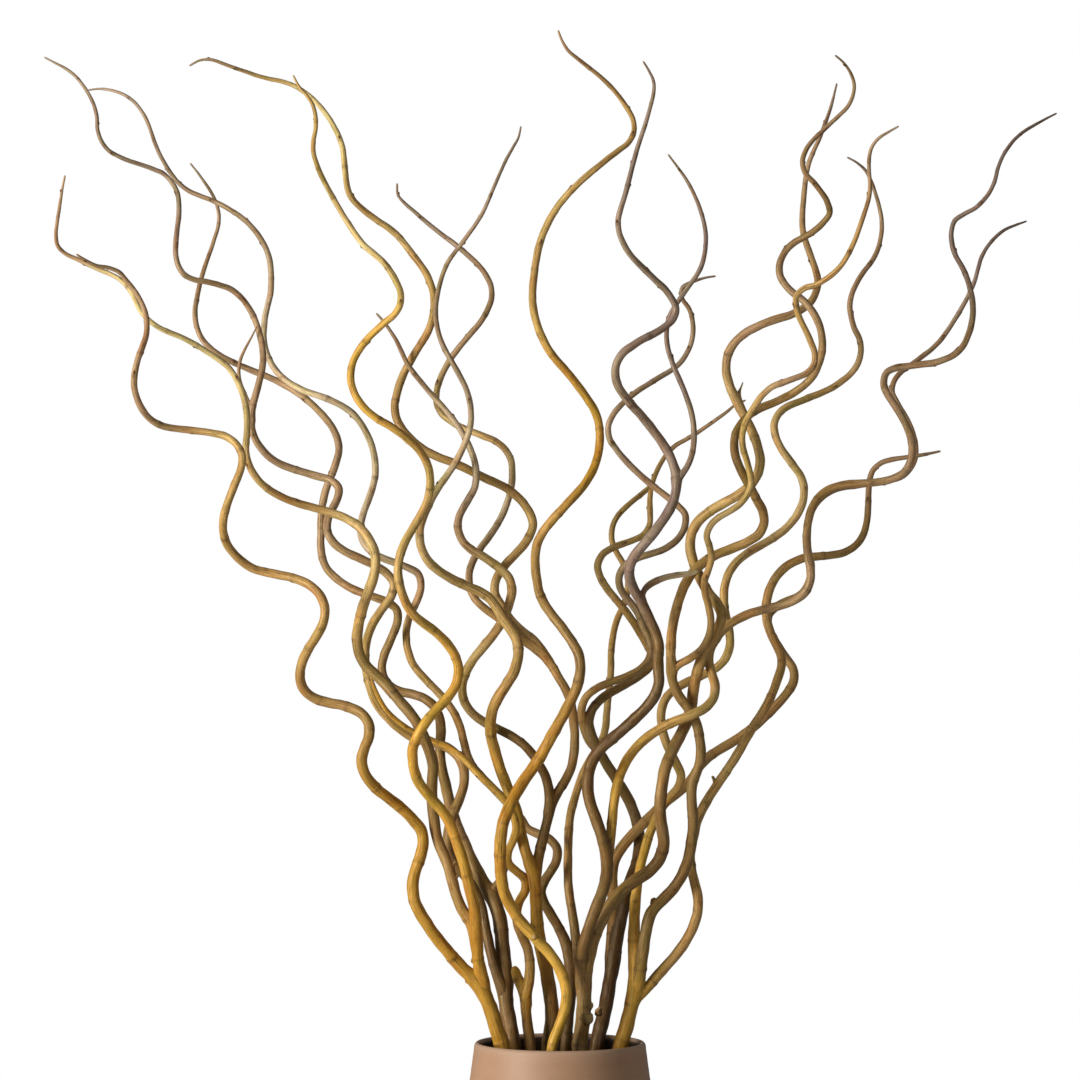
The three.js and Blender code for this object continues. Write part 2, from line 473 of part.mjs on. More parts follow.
// A push moves a whole stretch of the stem, so its line stays smooth.
function spreadPush(beads) {
  let push = beads.map((bead) => bead.push / Math.max(1, bead.hits));
  for (let pass = 0; pass < 4; pass += 1) {
    push = push.map((value, i) => {
      const before = push[Math.max(0, i - 1)];
      const after = push[Math.min(push.length - 1, i + 1)];
      return value * 0.4 + (before + after) * 0.3;
    });
  }
  return push;
}

// Eases the stems apart in depth until none touch; feet stay where they stand and forks on their stems.
function easeApart(stems) {
  const pairs = closePairs(stems);
  for (let round = 0; round < EASING_ROUNDS; round += 1) {
    for (const stem of stems) {
      for (const bead of stem.beads) Object.assign(bead, { push: 0, hits: 0 });
    }
    pairs.forEach(pushApart);
    for (const stem of stems) {
      spreadPush(stem.beads).forEach((push, i) => {
        const bead = stem.beads[i];
        const hold = stem.foot ? Math.min(1, bead.s / 200) : 1;
        bead.y += push * 1.6 * hold;
        if (bead.h < 12) bead.y = keepInside(bead);
      });
      if (stem.start) followParent(stem);
    }
  }
}

// The depth that keeps a bead off the inside of the vase's mouth.
function keepInside(bead) {
  const room = LIP_RADIUS - WALL - bead.r - 1.5;
  const most = Math.sqrt(Math.max(1, room * room - bead.x * bead.x));
  return Math.min(most, Math.max(-most, bead.y));
}

// A fork's first stretch follows the stem that it grows from.
function followParent(stem) {
  const shift = stem.start.y - stem.beads[0].y;
  for (const bead of stem.beads) bead.y += shift * Math.max(0, 1 - bead.s / 120);
}

// ---- solids ----

function toSolid(geometry) {
  geometry.deleteAttribute('normal');
  geometry.deleteAttribute('uv');
  const merged = mergeVertices(geometry, 1e-4);
  const mesh = new wasm.Mesh({
    numProp: 3,
    vertProperties: new Float32Array(merged.attributes.position.array),
    triVerts: new Uint32Array(merged.index.array),
  });
  return new wasm.Manifold(mesh);
}

function toGeometry(solid) {
  const mesh = solid.getMesh();
  const geometry = new THREE.BufferGeometry();
  geometry.setAttribute('position', new THREE.BufferAttribute(mesh.vertProperties, 3));
  geometry.setIndex(new THREE.BufferAttribute(mesh.triVerts, 1));
  geometry.computeVertexNormals();
  return geometry;
}

// A closed tapering tube: rings of SIDES corners along the curve, with a flat cap at each end.
function taperedTube(stem) {
  const curve = new THREE.CatmullRomCurve3(
    stem.beads.map((bead) => new THREE.Vector3(...place(bead))), false, 'centripetal',
  );
  curve.arcLengthDivisions = 8 * stem.beads.length;
  const rings = Math.max(3, Math.round(curve.getLength() / RING));
  const frames = curve.computeFrenetFrames(rings);
  const corners = [];
  for (let i = 0; i <= rings; i += 1) {
    const centre = curve.getPointAt(i / rings);
    const radius = along(stem.girth, i / rings);
    for (let k = 0; k < SIDES; k += 1) {
      const angle = (2 * Math.PI * k) / SIDES;
      corners.push(centre.clone()
        .addScaledVector(frames.normals[i], radius * Math.cos(angle))
        .addScaledVector(frames.binormals[i], radius * Math.sin(angle)));
    }
  }
  const faces = [];
  for (let i = 0; i < rings; i += 1) {
    for (let k = 0; k < SIDES; k += 1) {
      const [a, b] = [i * SIDES + k, i * SIDES + ((k + 1) % SIDES)];
      faces.push(a, b, b + SIDES, a, b + SIDES, a + SIDES);
    }
  }
  for (let k = 1; k < SIDES - 1; k += 1) {
    const last = rings * SIDES;
    faces.push(0, k + 1, k, last, last + k, last + k + 1);
  }
  const geometry = new THREE.BufferGeometry().setFromPoints(corners);
  geometry.setIndex(faces);
  return geometry;
}

// The vase's wall: its outline up the outside, over the rounded lip and down the inside to the floor.
function vaseGeometry() {
  const outside = new THREE.SplineCurve([
    [FOOT_RADIUS + 5, 5], [93, 42], [100, 90], [103.5, 140], [101.5, 185], [96.5, 225], [90.5, 262],
    [LIP_RADIUS + 0.6, VASE_HEIGHT - WALL],
  ].map(([r, z]) => new THREE.Vector2(r, z))).getPoints(12);
  const inside = outside.slice(1).reverse()
    .map((p) => new THREE.Vector2(p.x - WALL, Math.max(p.y, FLOOR + 9)));
  const lip = [];
  for (let i = 0; i <= 6; i += 1) {
    const angle = (Math.PI * i) / 6;
    const middle = LIP_RADIUS + 0.6 - WALL / 2;
    lip.push(new THREE.Vector2(
      middle + (WALL / 2) * Math.cos(angle), VASE_HEIGHT - WALL + 1 + (WALL - 1) * Math.sin(angle),
    ));
  }
  const outline = [
    new THREE.Vector2(0, 0), new THREE.Vector2(FOOT_RADIUS, 0), new THREE.Vector2(FOOT_RADIUS + 3.5, 1.4),
    ...outside, ...lip, ...inside, new THREE.Vector2(FOOT_RADIUS - 8, FLOOR), new THREE.Vector2(0, FLOOR),
  ];
  return new THREE.LatheGeometry(outline, 40).rotateX(Math.PI / 2);
}

// ---- the assembly ----

function addMesh(group, name, geometry) {
  const material = new THREE.MeshStandardMaterial({ metalness: 0, ...LOOKS[name] });
  const mesh = new THREE.Mesh(geometry, material);
  mesh.name = name;
  group.add(mesh);
}

const stemsByBranch = {};
for (const [branch, stems] of Object.entries(BRANCHES)) {
  const laid = [];
  for (const stem of stems) laid.push(layBeads(stem, laid.find((other) => other.name === stem.from)));
  stemsByBranch[branch] = laid;
}
easeApart(Object.values(stemsByBranch).flat());

const group = new THREE.Group();
addMesh(group, 'vase', toGeometry(toSolid(vaseGeometry())));
for (const [branch, stems] of Object.entries(stemsByBranch)) {
  const solid = stems.map((stem) => toSolid(taperedTube(stem))).reduce((all, tube) => all.add(tube));
  addMesh(group, branch, toGeometry(solid));
}

export default group;
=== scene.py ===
"""Cut branches of curly willow standing in a round stoneware vase.

The file is laid out as an add-on and run as a script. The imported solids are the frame. Every stem is a
tapering tube carried along the same route as its solid, with leaf nodes, buds, scars and bark, and the
vase is its outline turned round its axis. Routes are in millimetres; meshes are in metres.
"""
import json
import math
from dataclasses import dataclass
from functools import lru_cache, reduce

import bpy
import numpy as np
from bpy.props import FloatProperty, FloatVectorProperty, IntProperty, PointerProperty
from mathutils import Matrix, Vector

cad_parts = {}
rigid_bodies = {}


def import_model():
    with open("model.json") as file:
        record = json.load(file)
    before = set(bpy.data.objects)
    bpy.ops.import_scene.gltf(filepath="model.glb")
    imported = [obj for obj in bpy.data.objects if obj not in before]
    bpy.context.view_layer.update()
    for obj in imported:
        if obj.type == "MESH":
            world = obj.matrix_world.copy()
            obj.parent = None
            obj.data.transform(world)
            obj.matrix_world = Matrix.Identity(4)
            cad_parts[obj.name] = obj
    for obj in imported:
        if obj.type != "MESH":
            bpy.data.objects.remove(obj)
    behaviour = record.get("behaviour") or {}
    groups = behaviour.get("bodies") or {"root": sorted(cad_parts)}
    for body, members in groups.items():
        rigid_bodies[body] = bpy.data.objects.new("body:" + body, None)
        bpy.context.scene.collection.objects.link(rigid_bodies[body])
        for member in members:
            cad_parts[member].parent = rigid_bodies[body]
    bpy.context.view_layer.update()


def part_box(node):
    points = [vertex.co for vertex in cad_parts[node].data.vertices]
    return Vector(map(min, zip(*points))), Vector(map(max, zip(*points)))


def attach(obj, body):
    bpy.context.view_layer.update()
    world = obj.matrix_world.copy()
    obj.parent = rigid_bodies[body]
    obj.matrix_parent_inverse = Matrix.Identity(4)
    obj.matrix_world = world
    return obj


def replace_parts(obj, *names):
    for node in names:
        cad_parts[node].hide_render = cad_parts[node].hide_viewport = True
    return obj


bl_info = {
    "name": "Curly Willow in a Vase",
    "version": (1, 0, 0),
    "blender": (4, 5, 0),
    "location": "3D View > Sidebar > Willow",
    "description": "Grows cut willow branches and turns the vase that they stand in",
    "category": "Add Mesh",
}

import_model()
MM = 0.001

# ---- how the stems are laid out, in millimetres, as in the solids ----
VASE_HEIGHT = round(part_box("vase")[1][2] / MM)
LIP_RADIUS = 85.5
WALL = 6.5
STEM_FOOT = 13.0  # height of the cut ends above the table
BEAD = 12.0  # spacing of the points that a stem's depth is worked out at
CLEARANCE = 4.5  # least room kept between two stems
SWAY = 13.0  # depth of a stem's corkscrew
SWAY_PITCH = 190.0  # length of one turn of it
SWAY_START = 260.0  # run over which it grows to its full depth
FAN_LENGTH = 4600.0  # a stem that leans back also stands wider, by y / FAN_LENGTH,
FAN_CENTRE = (-20.0, 802.0)  # about this x and z

# ---- how the stems are eased apart, in millimetres, as in the solids ----
EASING_ROUNDS = 400
EVENING_ROUNDS = 4  # times that a push is averaged along its stem
PUSH = 1.6  # how much of its averaged push a bead takes
WATCHED = 14.0  # pairs with up to this much room to spare in front view are watched
FOOT_HOLD = 200.0  # run in which a stem's foot still holds it back
MOUTH_RISE = 12.0  # height above the lip up to which the vase's mouth holds a stem
MOUTH_ROOM = 1.5  # least room between a stem and the wall there
FORK_HOLD = 120.0  # run in which a fork moves with the stem that it grows from
FORK_FREE = 50.0  # run in which a fork may touch that stem
TWIN_FREE = 80.0  # run in which two forks of one stem may touch each other
MOST_STRAY = 12.0  # furthest that a branch may stray from its solid's box

# ---- the stems' skin, in millimetres ----
THICK_STEM = 4.5  # radius from which a stem has all its sides; a thinner one has two thirds of them
TIP_RADII = 1.6  # length of a tip's rounding, in radii
TWIG_END = 2.2  # a stem whose last radius is less than this thins out at its end
FILLET = 7.0  # how near two skins are when they start to swell into each other at a fork
FORK_REACH = 80.0  # run either way of a fork in which they do
FORK_FADE = 25.0  # the last of that run, over which the swelling fades
GRAIN_APART = 3000.0  # gap between one stem's grain and the next stem's
WAVES = ((0.028, 57, 1), (0.022, 31, -2), (0.016, 17, 3))  # slow waves: depth, pitch and times round
BUD_GIRTH = 3.7  # buds grow where the radius is less than this,
BUD_START = 60.0  # this far along the stem or more,
BUDDED = 0.62  # at this share of the leaf nodes


@dataclass(frozen=True)
class Stem:
    """One stem, in millimetres. Its bends are (x, height above the lip) from base to tip, and girth is its
    radius at even steps along it. tones are the names of its bark colours at even steps. A branch's first
    stem has a foot, the (x, y) of its cut end, and a depth, its y at the lip; the others grow from a stem.
    lean is how far it goes back for each millimetre it rises, and turn starts its corkscrew."""

    name: str
    branch: str
    bends: tuple
    girth: tuple
    tones: str
    lean: float
    turn: float
    foot: tuple = None
    depth: float = 0.0
    grows_from: str = None


STEMS = (
    Stem(
        "left low", "left_golden_branch", foot=(-38, -18), depth=-24, lean=-0.16, turn=0.4,
        girth=(9, 8.6, 7.9, 6.1, 5.6, 5.1, 4.6, 4.2, 3.6, 3.1, 1.6),
        tones="amber amber amber amber brown hazel hazel hazel honey ash ash ash",
        bends=(
            (-58, -3), (-63, 12), (-70, 34), (-79, 52), (-88, 64), (-102, 78), (-115, 94), (-127, 109),
            (-137, 124), (-144, 137), (-147, 152), (-146, 167), (-141, 182), (-137, 196), (-138, 210),
            (-147, 222), (-158, 233), (-170, 243), (-182, 252), (-192, 263), (-198, 276), (-197, 289),
            (-192, 302), (-191, 316), (-198, 328), (-215, 336), (-235, 340), (-248, 345), (-257, 354),
            (-260, 368), (-256, 385), (-247, 400), (-239, 414), (-235, 430), (-239, 445), (-249, 456),
            (-264, 463), (-290, 469), (-308, 474), (-323, 485), (-333, 498), (-337, 514), (-335, 531),
            (-327, 553), (-319, 574), (-318, 586), (-324, 598), (-335, 606), (-355, 610), (-380, 613),
            (-400, 617), (-413, 626), (-422, 641), (-426, 659), (-422, 684), (-414, 706), (-414, 726),
            (-421, 744), (-433, 761), (-444, 772), (-465, 777), (-484, 788),
        ),
    ),
    Stem(
        "left bright", "left_golden_branch", grows_from="left low", lean=-0.27, turn=2.1,
        girth=(6.2, 5.6, 5.2, 4.9, 4.5, 4.1, 3.8, 3.5, 3.1, 2.5, 1.6),
        tones="amber amber gold gold gold honey honey gold gold straw honey honey",
        bends=(
            (-73, 47), (-76, 60), (-81, 77), (-83, 97), (-84, 117), (-86, 135), (-90, 152), (-94, 170),
            (-99, 187), (-105, 205), (-113, 224), (-123, 237), (-134, 250), (-143, 263), (-147, 279),
            (-147, 294), (-141, 309), (-131, 324), (-120, 336), (-110, 347), (-103, 361), (-102, 377),
            (-108, 392), (-119, 405), (-131, 415), (-144, 425), (-153, 437), (-159, 452), (-162, 468),
            (-160, 486), (-154, 502), (-144, 519), (-135, 535), (-130, 554), (-132, 576), (-141, 592),
            (-155, 605), (-170, 616), (-188, 627), (-202, 642), (-209, 661), (-207, 680), (-196, 699),
            (-178, 717), (-163, 731), (-159, 746), (-164, 761), (-177, 780), (-196, 797), (-214, 822),
            (-230, 850), (-242, 874), (-247, 894), (-244, 920), (-249, 941), (-260, 954), (-267, 967),
        ),
    ),
    Stem(
        "left middle", "left_golden_branch", grows_from="left bright", lean=-0.05, turn=3.6,
        girth=(5.4, 5.5, 5.5, 5.4, 5.1, 4.2, 3.5, 3, 2.6, 2.2, 1.5),
        tones="hazel brown moss moss honey tan hazel tan straw straw ash ash",
        bends=(
            (-83, 95), (-88, 115), (-99, 135), (-106, 154), (-110, 170), (-116, 187), (-123, 204),
            (-126, 222), (-128, 242), (-128, 260), (-127, 277), (-131, 292), (-137, 307), (-145, 322),
            (-156, 336), (-168, 350), (-180, 363), (-192, 374), (-200, 387), (-203, 402), (-201, 420),
            (-196, 438), (-190, 455), (-185, 472), (-185, 488), (-191, 503), (-201, 515), (-217, 525),
            (-238, 532), (-260, 538), (-280, 546), (-297, 557), (-308, 571), (-314, 590), (-313, 612),
            (-314, 634), (-320, 655), (-332, 675), (-351, 689), (-377, 704), (-402, 715), (-418, 729),
            (-430, 752), (-442, 764), (-460, 772), (-485, 784), (-500, 792), (-504, 805), (-501, 832),
            (-498, 852), (-495, 867),
        ),
    ),
    Stem(
        "brown left", "left_brown_branch", foot=(-34, 16), depth=16, lean=0.26, turn=1.2,
        girth=(7.8, 7.7, 7.5, 7.3, 5.4, 4.5, 4.1, 3.9, 3.4, 2.5, 1.5),
        tones="umber umber brown moss moss brown ash ash ash ash ash smoke",
        bends=(
            (-47, -3), (-51, 22), (-54, 42), (-54, 62), (-56, 82), (-58, 102), (-60, 120), (-64, 136),
            (-71, 150), (-79, 163), (-87, 178), (-94, 194), (-101, 210), (-107, 226), (-111, 242),
            (-115, 260), (-119, 277), (-120, 294), (-119, 311), (-122, 328), (-130, 340), (-145, 347),
            (-161, 351), (-173, 359), (-178, 371), (-176, 386), (-170, 401), (-163, 418), (-162, 430),
            (-170, 438), (-186, 445), (-205, 452), (-222, 462), (-234, 475), (-239, 492), (-239, 512),
            (-238, 534), (-233, 556), (-225, 576), (-221, 594), (-227, 613), (-242, 632), (-261, 648),
            (-285, 662), (-314, 674), (-342, 688), (-358, 703), (-365, 726), (-362, 750), (-355, 776),
            (-347, 799), (-341, 822), (-345, 842), (-357, 862), (-370, 879),
        ),
    ),
    Stem(
        "brown far left", "left_brown_branch", grows_from="brown left", lean=0.1, turn=4.9,
        girth=(5.2, 5, 4.8, 4.6, 4.4, 4.1, 3.7, 3.1, 2.7, 2.2, 1.5),
        # Its first tones, bog and umber, are painted shade on the low stretch that lies in shade.
        tones="bog umber brown hazel honey ash ash ash ash smoke smoke smoke",
        bends=(
            (-54, 40), (-60, 57), (-66, 77), (-71, 97), (-75, 117), (-79, 137), (-86, 153), (-97, 168),
            (-107, 181), (-112, 195), (-112, 210), (-108, 224), (-102, 239), (-97, 254), (-96, 270),
            (-101, 284), (-112, 294), (-128, 299), (-146, 304), (-161, 314), (-174, 326), (-184, 340),
            (-190, 356), (-194, 374), (-195, 390), (-192, 406), (-186, 421), (-177, 434), (-169, 445),
            (-166, 457), (-173, 468), (-186, 477), (-203, 485), (-219, 493), (-230, 504), (-233, 517),
            (-228, 533), (-221, 549), (-224, 559), (-240, 565), (-264, 572), (-285, 581), (-300, 595),
            (-308, 612), (-308, 632), (-302, 656), (-297, 680), (-301, 710), (-311, 734), (-328, 752),
            (-352, 760), (-373, 765), (-383, 780), (-384, 802), (-381, 832), (-383, 850), (-395, 867),
            (-412, 875), (-438, 884), (-454, 894), (-462, 910), (-464, 930), (-472, 949), (-488, 969),
            (-503, 978), (-516, 985),
        ),
    ),
    Stem(
        "brown spur", "left_brown_branch", grows_from="brown left", lean=0, turn=0,
        girth=(4, 3.8, 3.4, 2.6),
        tones="umber umber umber",
        bends=(
            (-71, 146), (-66, 153), (-60, 163), (-55, 172), (-52, 181),
        ),
    ),
    Stem(
        "brown twig", "left_brown_branch", grows_from="brown far left", lean=0.3, turn=0,
        girth=(2.1, 1.9, 1.7, 1.2),
        tones="ash ash ash",
        bends=(
            (-308, 622), (-312, 640), (-320, 661), (-321, 677), (-316, 691), (-309, 704), (-303, 716),
        ),
    ),
    Stem(
        "slender", "slender_branch", foot=(-14, -8), depth=-7, lean=0.04, turn=3.3,
        girth=(6.6, 6.3, 5.8, 5.2, 4.6, 3.8, 3, 2),
        tones="moss amber hazel amber gold gold gold gold gold gold gold gold",
        bends=(
            (-30, -3), (-33, 22), (-34, 42), (-31, 60), (-30, 77), (-32, 92), (-38, 106), (-43, 120),
            (-42, 137), (-35, 151), (-35, 162), (-44, 171), (-52, 180), (-52, 189), (-47, 201), (-44, 216),
            (-49, 232), (-60, 247), (-74, 260), (-87, 273), (-98, 285), (-111, 294), (-126, 301),
            (-148, 311), (-160, 319), (-172, 330), (-181, 344), (-187, 358), (-191, 374),
        ),
    ),
    Stem(
        "slender stub", "slender_branch", grows_from="slender", lean=0.15, turn=0,
        girth=(4.6, 4.9, 4.7),
        tones="gold gold gold",
        bends=(
            (-33, 38), (-38, 52), (-43, 66), (-46, 76),
        ),
    ),
    Stem(
        "centre main", "centre_branch", foot=(2, 10), depth=13, lean=-0.02, turn=5.5,
        girth=(8, 7.8, 7.4, 6.9, 5.6, 5.6, 5.2, 4.4, 3.2, 2.6, 2.1, 1.5),
        tones="umber amber amber gold hazel honey tan fawn smoke ochre smoke smoke",
        bends=(
            (-11, -3), (-8, 22), (-9, 42), (-12, 62), (-16, 82), (-20, 100), (-23, 120), (-24, 142),
            (-25, 160), (-30, 176), (-35, 192), (-39, 208), (-42, 226), (-48, 242), (-54, 258), (-60, 274),
            (-65, 290), (-69, 307), (-69, 324), (-64, 341), (-55, 355), (-46, 370), (-42, 386), (-43, 401),
            (-51, 415), (-60, 428), (-67, 440), (-80, 450), (-98, 458), (-115, 467), (-130, 479),
            (-139, 496), (-140, 514), (-134, 531), (-122, 554), (-106, 577), (-95, 599), (-89, 622),
            (-92, 648), (-104, 673), (-118, 699), (-124, 722), (-122, 750), (-113, 778), (-98, 799),
            (-78, 828), (-64, 860), (-53, 884), (-41, 906), (-39, 916),
        ),
    ),
    Stem(
        "centre hooked", "centre_branch", grows_from="centre main", lean=0.09, turn=0.9,
        girth=(5.6, 4.9, 4.5, 4.5, 4.8, 4.5, 3.8, 3.2, 2.7, 1.8),
        tones="umber umber umber moss honey tan honey ash rose rose ash smoke",
        bends=(
            (-25, 157), (-23, 174), (-20, 192), (-15, 212), (-11, 230), (-11, 247), (-14, 264), (-21, 278),
            (-31, 292), (-44, 303), (-60, 312), (-76, 320), (-90, 331), (-97, 345), (-97, 360), (-91, 376),
            (-81, 390), (-69, 404), (-59, 419), (-52, 435), (-48, 451), (-51, 464), (-61, 474), (-76, 485),
            (-92, 495), (-101, 508), (-101, 525), (-93, 540), (-85, 556), (-85, 579), (-95, 604),
            (-111, 628), (-134, 654), (-153, 679), (-163, 700), (-176, 720), (-184, 729),
        ),
    ),
    Stem(
        "centre budded", "centre_branch", grows_from="centre hooked", lean=0.2, turn=2.8,
        girth=(4.7, 4.6, 4.4, 3.8, 3.5, 3.5, 3.3, 3, 2.7, 1.7),
        tones="umber brown hazel hazel ash rose tan tan ash ash smoke smoke",
        bends=(
            (-11, 230), (-4, 246), (4, 259), (11, 274), (14, 290), (15, 307), (13, 325), (11, 339),
            (5, 354), (-4, 369), (-13, 383), (-26, 394), (-40, 405), (-52, 416), (-65, 426), (-78, 436),
            (-87, 446), (-91, 460), (-89, 476), (-80, 493), (-69, 508), (-59, 524), (-52, 542), (-48, 562),
            (-50, 585), (-62, 599), (-82, 608), (-105, 618), (-121, 632), (-123, 652), (-112, 679),
            (-94, 703), (-75, 727), (-68, 749), (-76, 770), (-98, 792), (-120, 809), (-143, 828),
            (-162, 847), (-163, 859),
        ),
    ),
    Stem(
        "centre tall", "centre_branch", grows_from="centre budded", lean=0.03, turn=1.9,
        girth=(4.2, 4.5, 4.4, 4.3, 4.1, 3.7, 3.4, 2.9, 2.3, 1.6),
        tones="tan tan honey hazel brown hazel hazel honey honey straw honey smoke",
        bends=(
            (-12, 382), (-18, 392), (-27, 403), (-39, 412), (-50, 423), (-57, 435), (-64, 445), (-65, 459),
            (-58, 473), (-47, 485), (-35, 499), (-27, 517), (-33, 534), (-51, 552), (-77, 565), (-104, 578),
            (-132, 590), (-153, 607), (-165, 630), (-160, 659), (-145, 689), (-130, 715), (-126, 742),
            (-133, 767), (-148, 788), (-165, 809), (-193, 829), (-210, 847), (-215, 872), (-218, 897),
            (-230, 922), (-248, 944), (-270, 958), (-298, 965), (-325, 974), (-355, 983), (-371, 976),
        ),
    ),
    Stem(
        "front golden", "front_golden_branch", foot=(-12, -48), depth=-46, lean=-0.09, turn=4.2,
        girth=(5.4, 5.2, 5.1, 5.5, 5.9, 5.8, 4.9, 4.4, 4.1, 3.9, 3.5, 2.6, 1.7),
        tones="gold gold amber amber moss hazel amber gold honey honey hazel ash",
        bends=(
            (-8, -6), (-3, 9), (2, 24), (6, 39), (6, 54), (1, 70), (-8, 85), (-19, 98), (-30, 110),
            (-40, 121), (-49, 135), (-56, 151), (-59, 168), (-60, 186), (-59, 204), (-56, 222), (-49, 239),
            (-40, 255), (-30, 270), (-20, 285), (-11, 301), (-1, 319), (8, 336), (16, 352), (20, 369),
            (19, 386), (11, 402), (0, 417), (-11, 431), (-19, 445), (-23, 462), (-25, 482), (-22, 500),
            (-11, 518), (6, 537), (24, 557), (36, 580), (40, 604), (36, 628), (22, 651), (6, 671),
            (-9, 689), (-21, 712), (-27, 737), (-26, 767), (-19, 802), (-4, 833), (22, 862), (50, 885),
            (71, 903), (74, 919), (61, 943), (43, 963), (22, 980), (6, 994), (-2, 1012),
        ),
    ),
    Stem(
        "back left", "back_branch", foot=(8, 38), depth=38, lean=0.2, turn=5,
        girth=(6.4, 6.2, 5.8, 4.9, 4.3, 4, 3.8, 3.5, 3.4, 3, 2.3, 1.5),
        tones="umber umber brown hazel hazel rose fawn fawn rose ochre smoke smoke",
        bends=(
            (6, -3), (8, 20), (10, 42), (11, 62), (9, 82), (4, 102), (-5, 121), (-14, 136), (-19, 149),
            (-15, 162), (-7, 174), (-2, 188), (-7, 200), (-20, 207), (-33, 214), (-41, 226), (-52, 238),
            (-65, 252), (-79, 266), (-90, 280), (-95, 296), (-99, 312), (-105, 327), (-115, 342),
            (-126, 354), (-137, 365), (-147, 378), (-152, 392), (-154, 408), (-151, 424), (-144, 439),
            (-139, 454), (-142, 468), (-156, 476), (-175, 483), (-191, 492), (-199, 507), (-198, 524),
            (-191, 544), (-185, 564), (-186, 587), (-194, 610), (-208, 629), (-232, 643), (-260, 653),
            (-282, 669), (-295, 694), (-295, 724), (-289, 754), (-292, 788), (-310, 817), (-340, 838),
            (-377, 855), (-400, 887), (-416, 927), (-432, 945), (-455, 953), (-472, 952),
        ),
    ),
    Stem(
        "back thin", "back_branch", grows_from="back left", lean=0.3, turn=1.5,
        girth=(5.2, 4.6, 4.4, 4, 3.6, 3.4, 3.1, 2.8, 2.4, 1.6),
        tones="umber moss hazel hazel honey honey hazel honey honey honey ash ochre",
        bends=(
            (11, 62), (15, 77), (17, 94), (15, 112), (12, 130), (9, 150), (8, 170), (8, 192), (9, 212),
            (11, 230), (15, 245), (20, 260), (26, 275), (34, 289), (42, 302), (46, 317), (47, 334),
            (49, 352), (51, 370), (51, 388), (53, 405), (57, 422), (64, 438), (68, 454), (67, 470),
            (60, 484), (53, 497), (52, 512), (57, 525), (67, 536), (79, 546), (90, 555), (96, 569),
            (104, 584), (115, 596), (132, 606), (150, 618), (168, 631), (178, 639), (186, 642),
        ),
    ),
    Stem(
        "big right", "big_brown_branch", foot=(14, -28), depth=-22, lean=-0.05, turn=2.4,
        girth=(9, 8.6, 8.1, 6.6, 6, 5.8, 5.2, 4.9, 4.6, 4, 2.8, 1.5),
        tones="moss brown umber brown hazel hazel honey honey ash hazel ash smoke",
        bends=(
            (20, -3), (23, 20), (24, 42), (25, 62), (28, 82), (33, 102), (41, 121), (51, 138), (63, 152),
            (78, 163), (92, 173), (101, 187), (104, 203), (101, 219), (100, 236), (102, 254), (105, 272),
            (111, 289), (119, 304), (126, 318), (131, 334), (133, 350), (137, 368), (142, 384), (149, 398),
            (157, 411), (162, 425), (157, 438), (148, 450), (140, 465), (133, 481), (130, 498), (134, 514),
            (145, 527), (162, 538), (180, 548), (193, 560), (200, 577), (198, 595), (191, 613), (181, 632),
            (171, 653), (166, 674), (170, 692), (184, 708), (208, 720), (235, 729), (252, 742), (258, 761),
            (251, 785), (243, 812), (244, 847), (249, 879), (260, 905), (270, 932), (277, 959),
        ),
    ),
    Stem(
        "big dark", "big_brown_branch", grows_from="big right", lean=-0.2, turn=0.2,
        girth=(6, 5.9, 5.8, 5.7, 5.4, 5.1, 4.9, 4.5, 4, 3.4, 2.8, 2.3, 1.5),
        tones="umber umber umber bog umber plum plum smoke plum smoke plum smoke",
        bends=(
            (23, 45), (21, 67), (22, 87), (26, 105), (32, 123), (39, 141), (45, 159), (47, 177), (45, 194),
            (40, 211), (34, 228), (29, 245), (28, 262), (31, 278), (40, 292), (54, 305), (69, 318),
            (83, 331), (94, 345), (99, 361), (98, 378), (99, 394), (95, 410), (88, 426), (81, 441),
            (73, 454), (69, 468), (72, 481), (80, 493), (90, 505), (101, 519), (111, 535), (116, 552),
            (115, 572), (108, 590), (95, 609), (81, 627), (66, 644), (56, 662), (59, 684), (78, 700),
            (102, 713), (116, 729), (109, 748), (89, 768), (68, 791), (58, 817), (66, 850), (76, 889),
            (88, 927), (94, 959), (83, 981),
        ),
    ),
    Stem(
        "big far right", "big_brown_branch", grows_from="big dark", lean=0.15, turn=4,
        girth=(4.8, 4.9, 4.7, 4.5, 4.2, 4, 3.7, 3.4, 2.8, 2.1, 1.5),
        tones="gold gold honey hazel ash hazel ash ash ochre plum plum plum",
        bends=(
            (47, 178), (50, 199), (52, 219), (54, 239), (57, 257), (63, 274), (72, 289), (84, 302),
            (98, 312), (114, 320), (131, 327), (145, 334), (154, 345), (155, 359), (150, 373), (149, 387),
            (155, 401), (164, 413), (178, 423), (195, 430), (215, 435), (235, 442), (247, 452), (251, 467),
            (248, 486), (247, 505), (249, 524), (255, 540), (268, 552), (288, 558), (310, 559), (332, 563),
            (347, 573), (352, 588), (351, 604), (344, 621), (334, 638), (324, 656), (328, 671), (350, 676),
            (380, 681), (400, 692), (410, 712), (413, 737), (406, 767), (393, 794), (394, 820), (418, 836),
            (432, 854), (441, 882), (457, 905), (480, 920), (497, 929),
        ),
    ),
    Stem(
        "big inner", "big_brown_branch", grows_from="big dark", lean=0.1, turn=3,
        girth=(3, 2.8, 2.5, 2.4, 2.1, 1.4),
        tones="ochre plum plum plum ochre",
        bends=(
            (116, 560), (124, 570), (131, 584), (134, 602), (132, 627), (124, 652), (114, 675), (107, 700),
            (109, 724), (124, 749), (141, 775), (146, 804), (141, 830), (129, 858), (108, 888),
        ),
    ),
    Stem(
        "big spur", "big_brown_branch", grows_from="big dark", lean=0.4, turn=0,
        girth=(3.5, 3.4, 3, 2.4),
        tones="fawn fawn fawn",
        bends=(
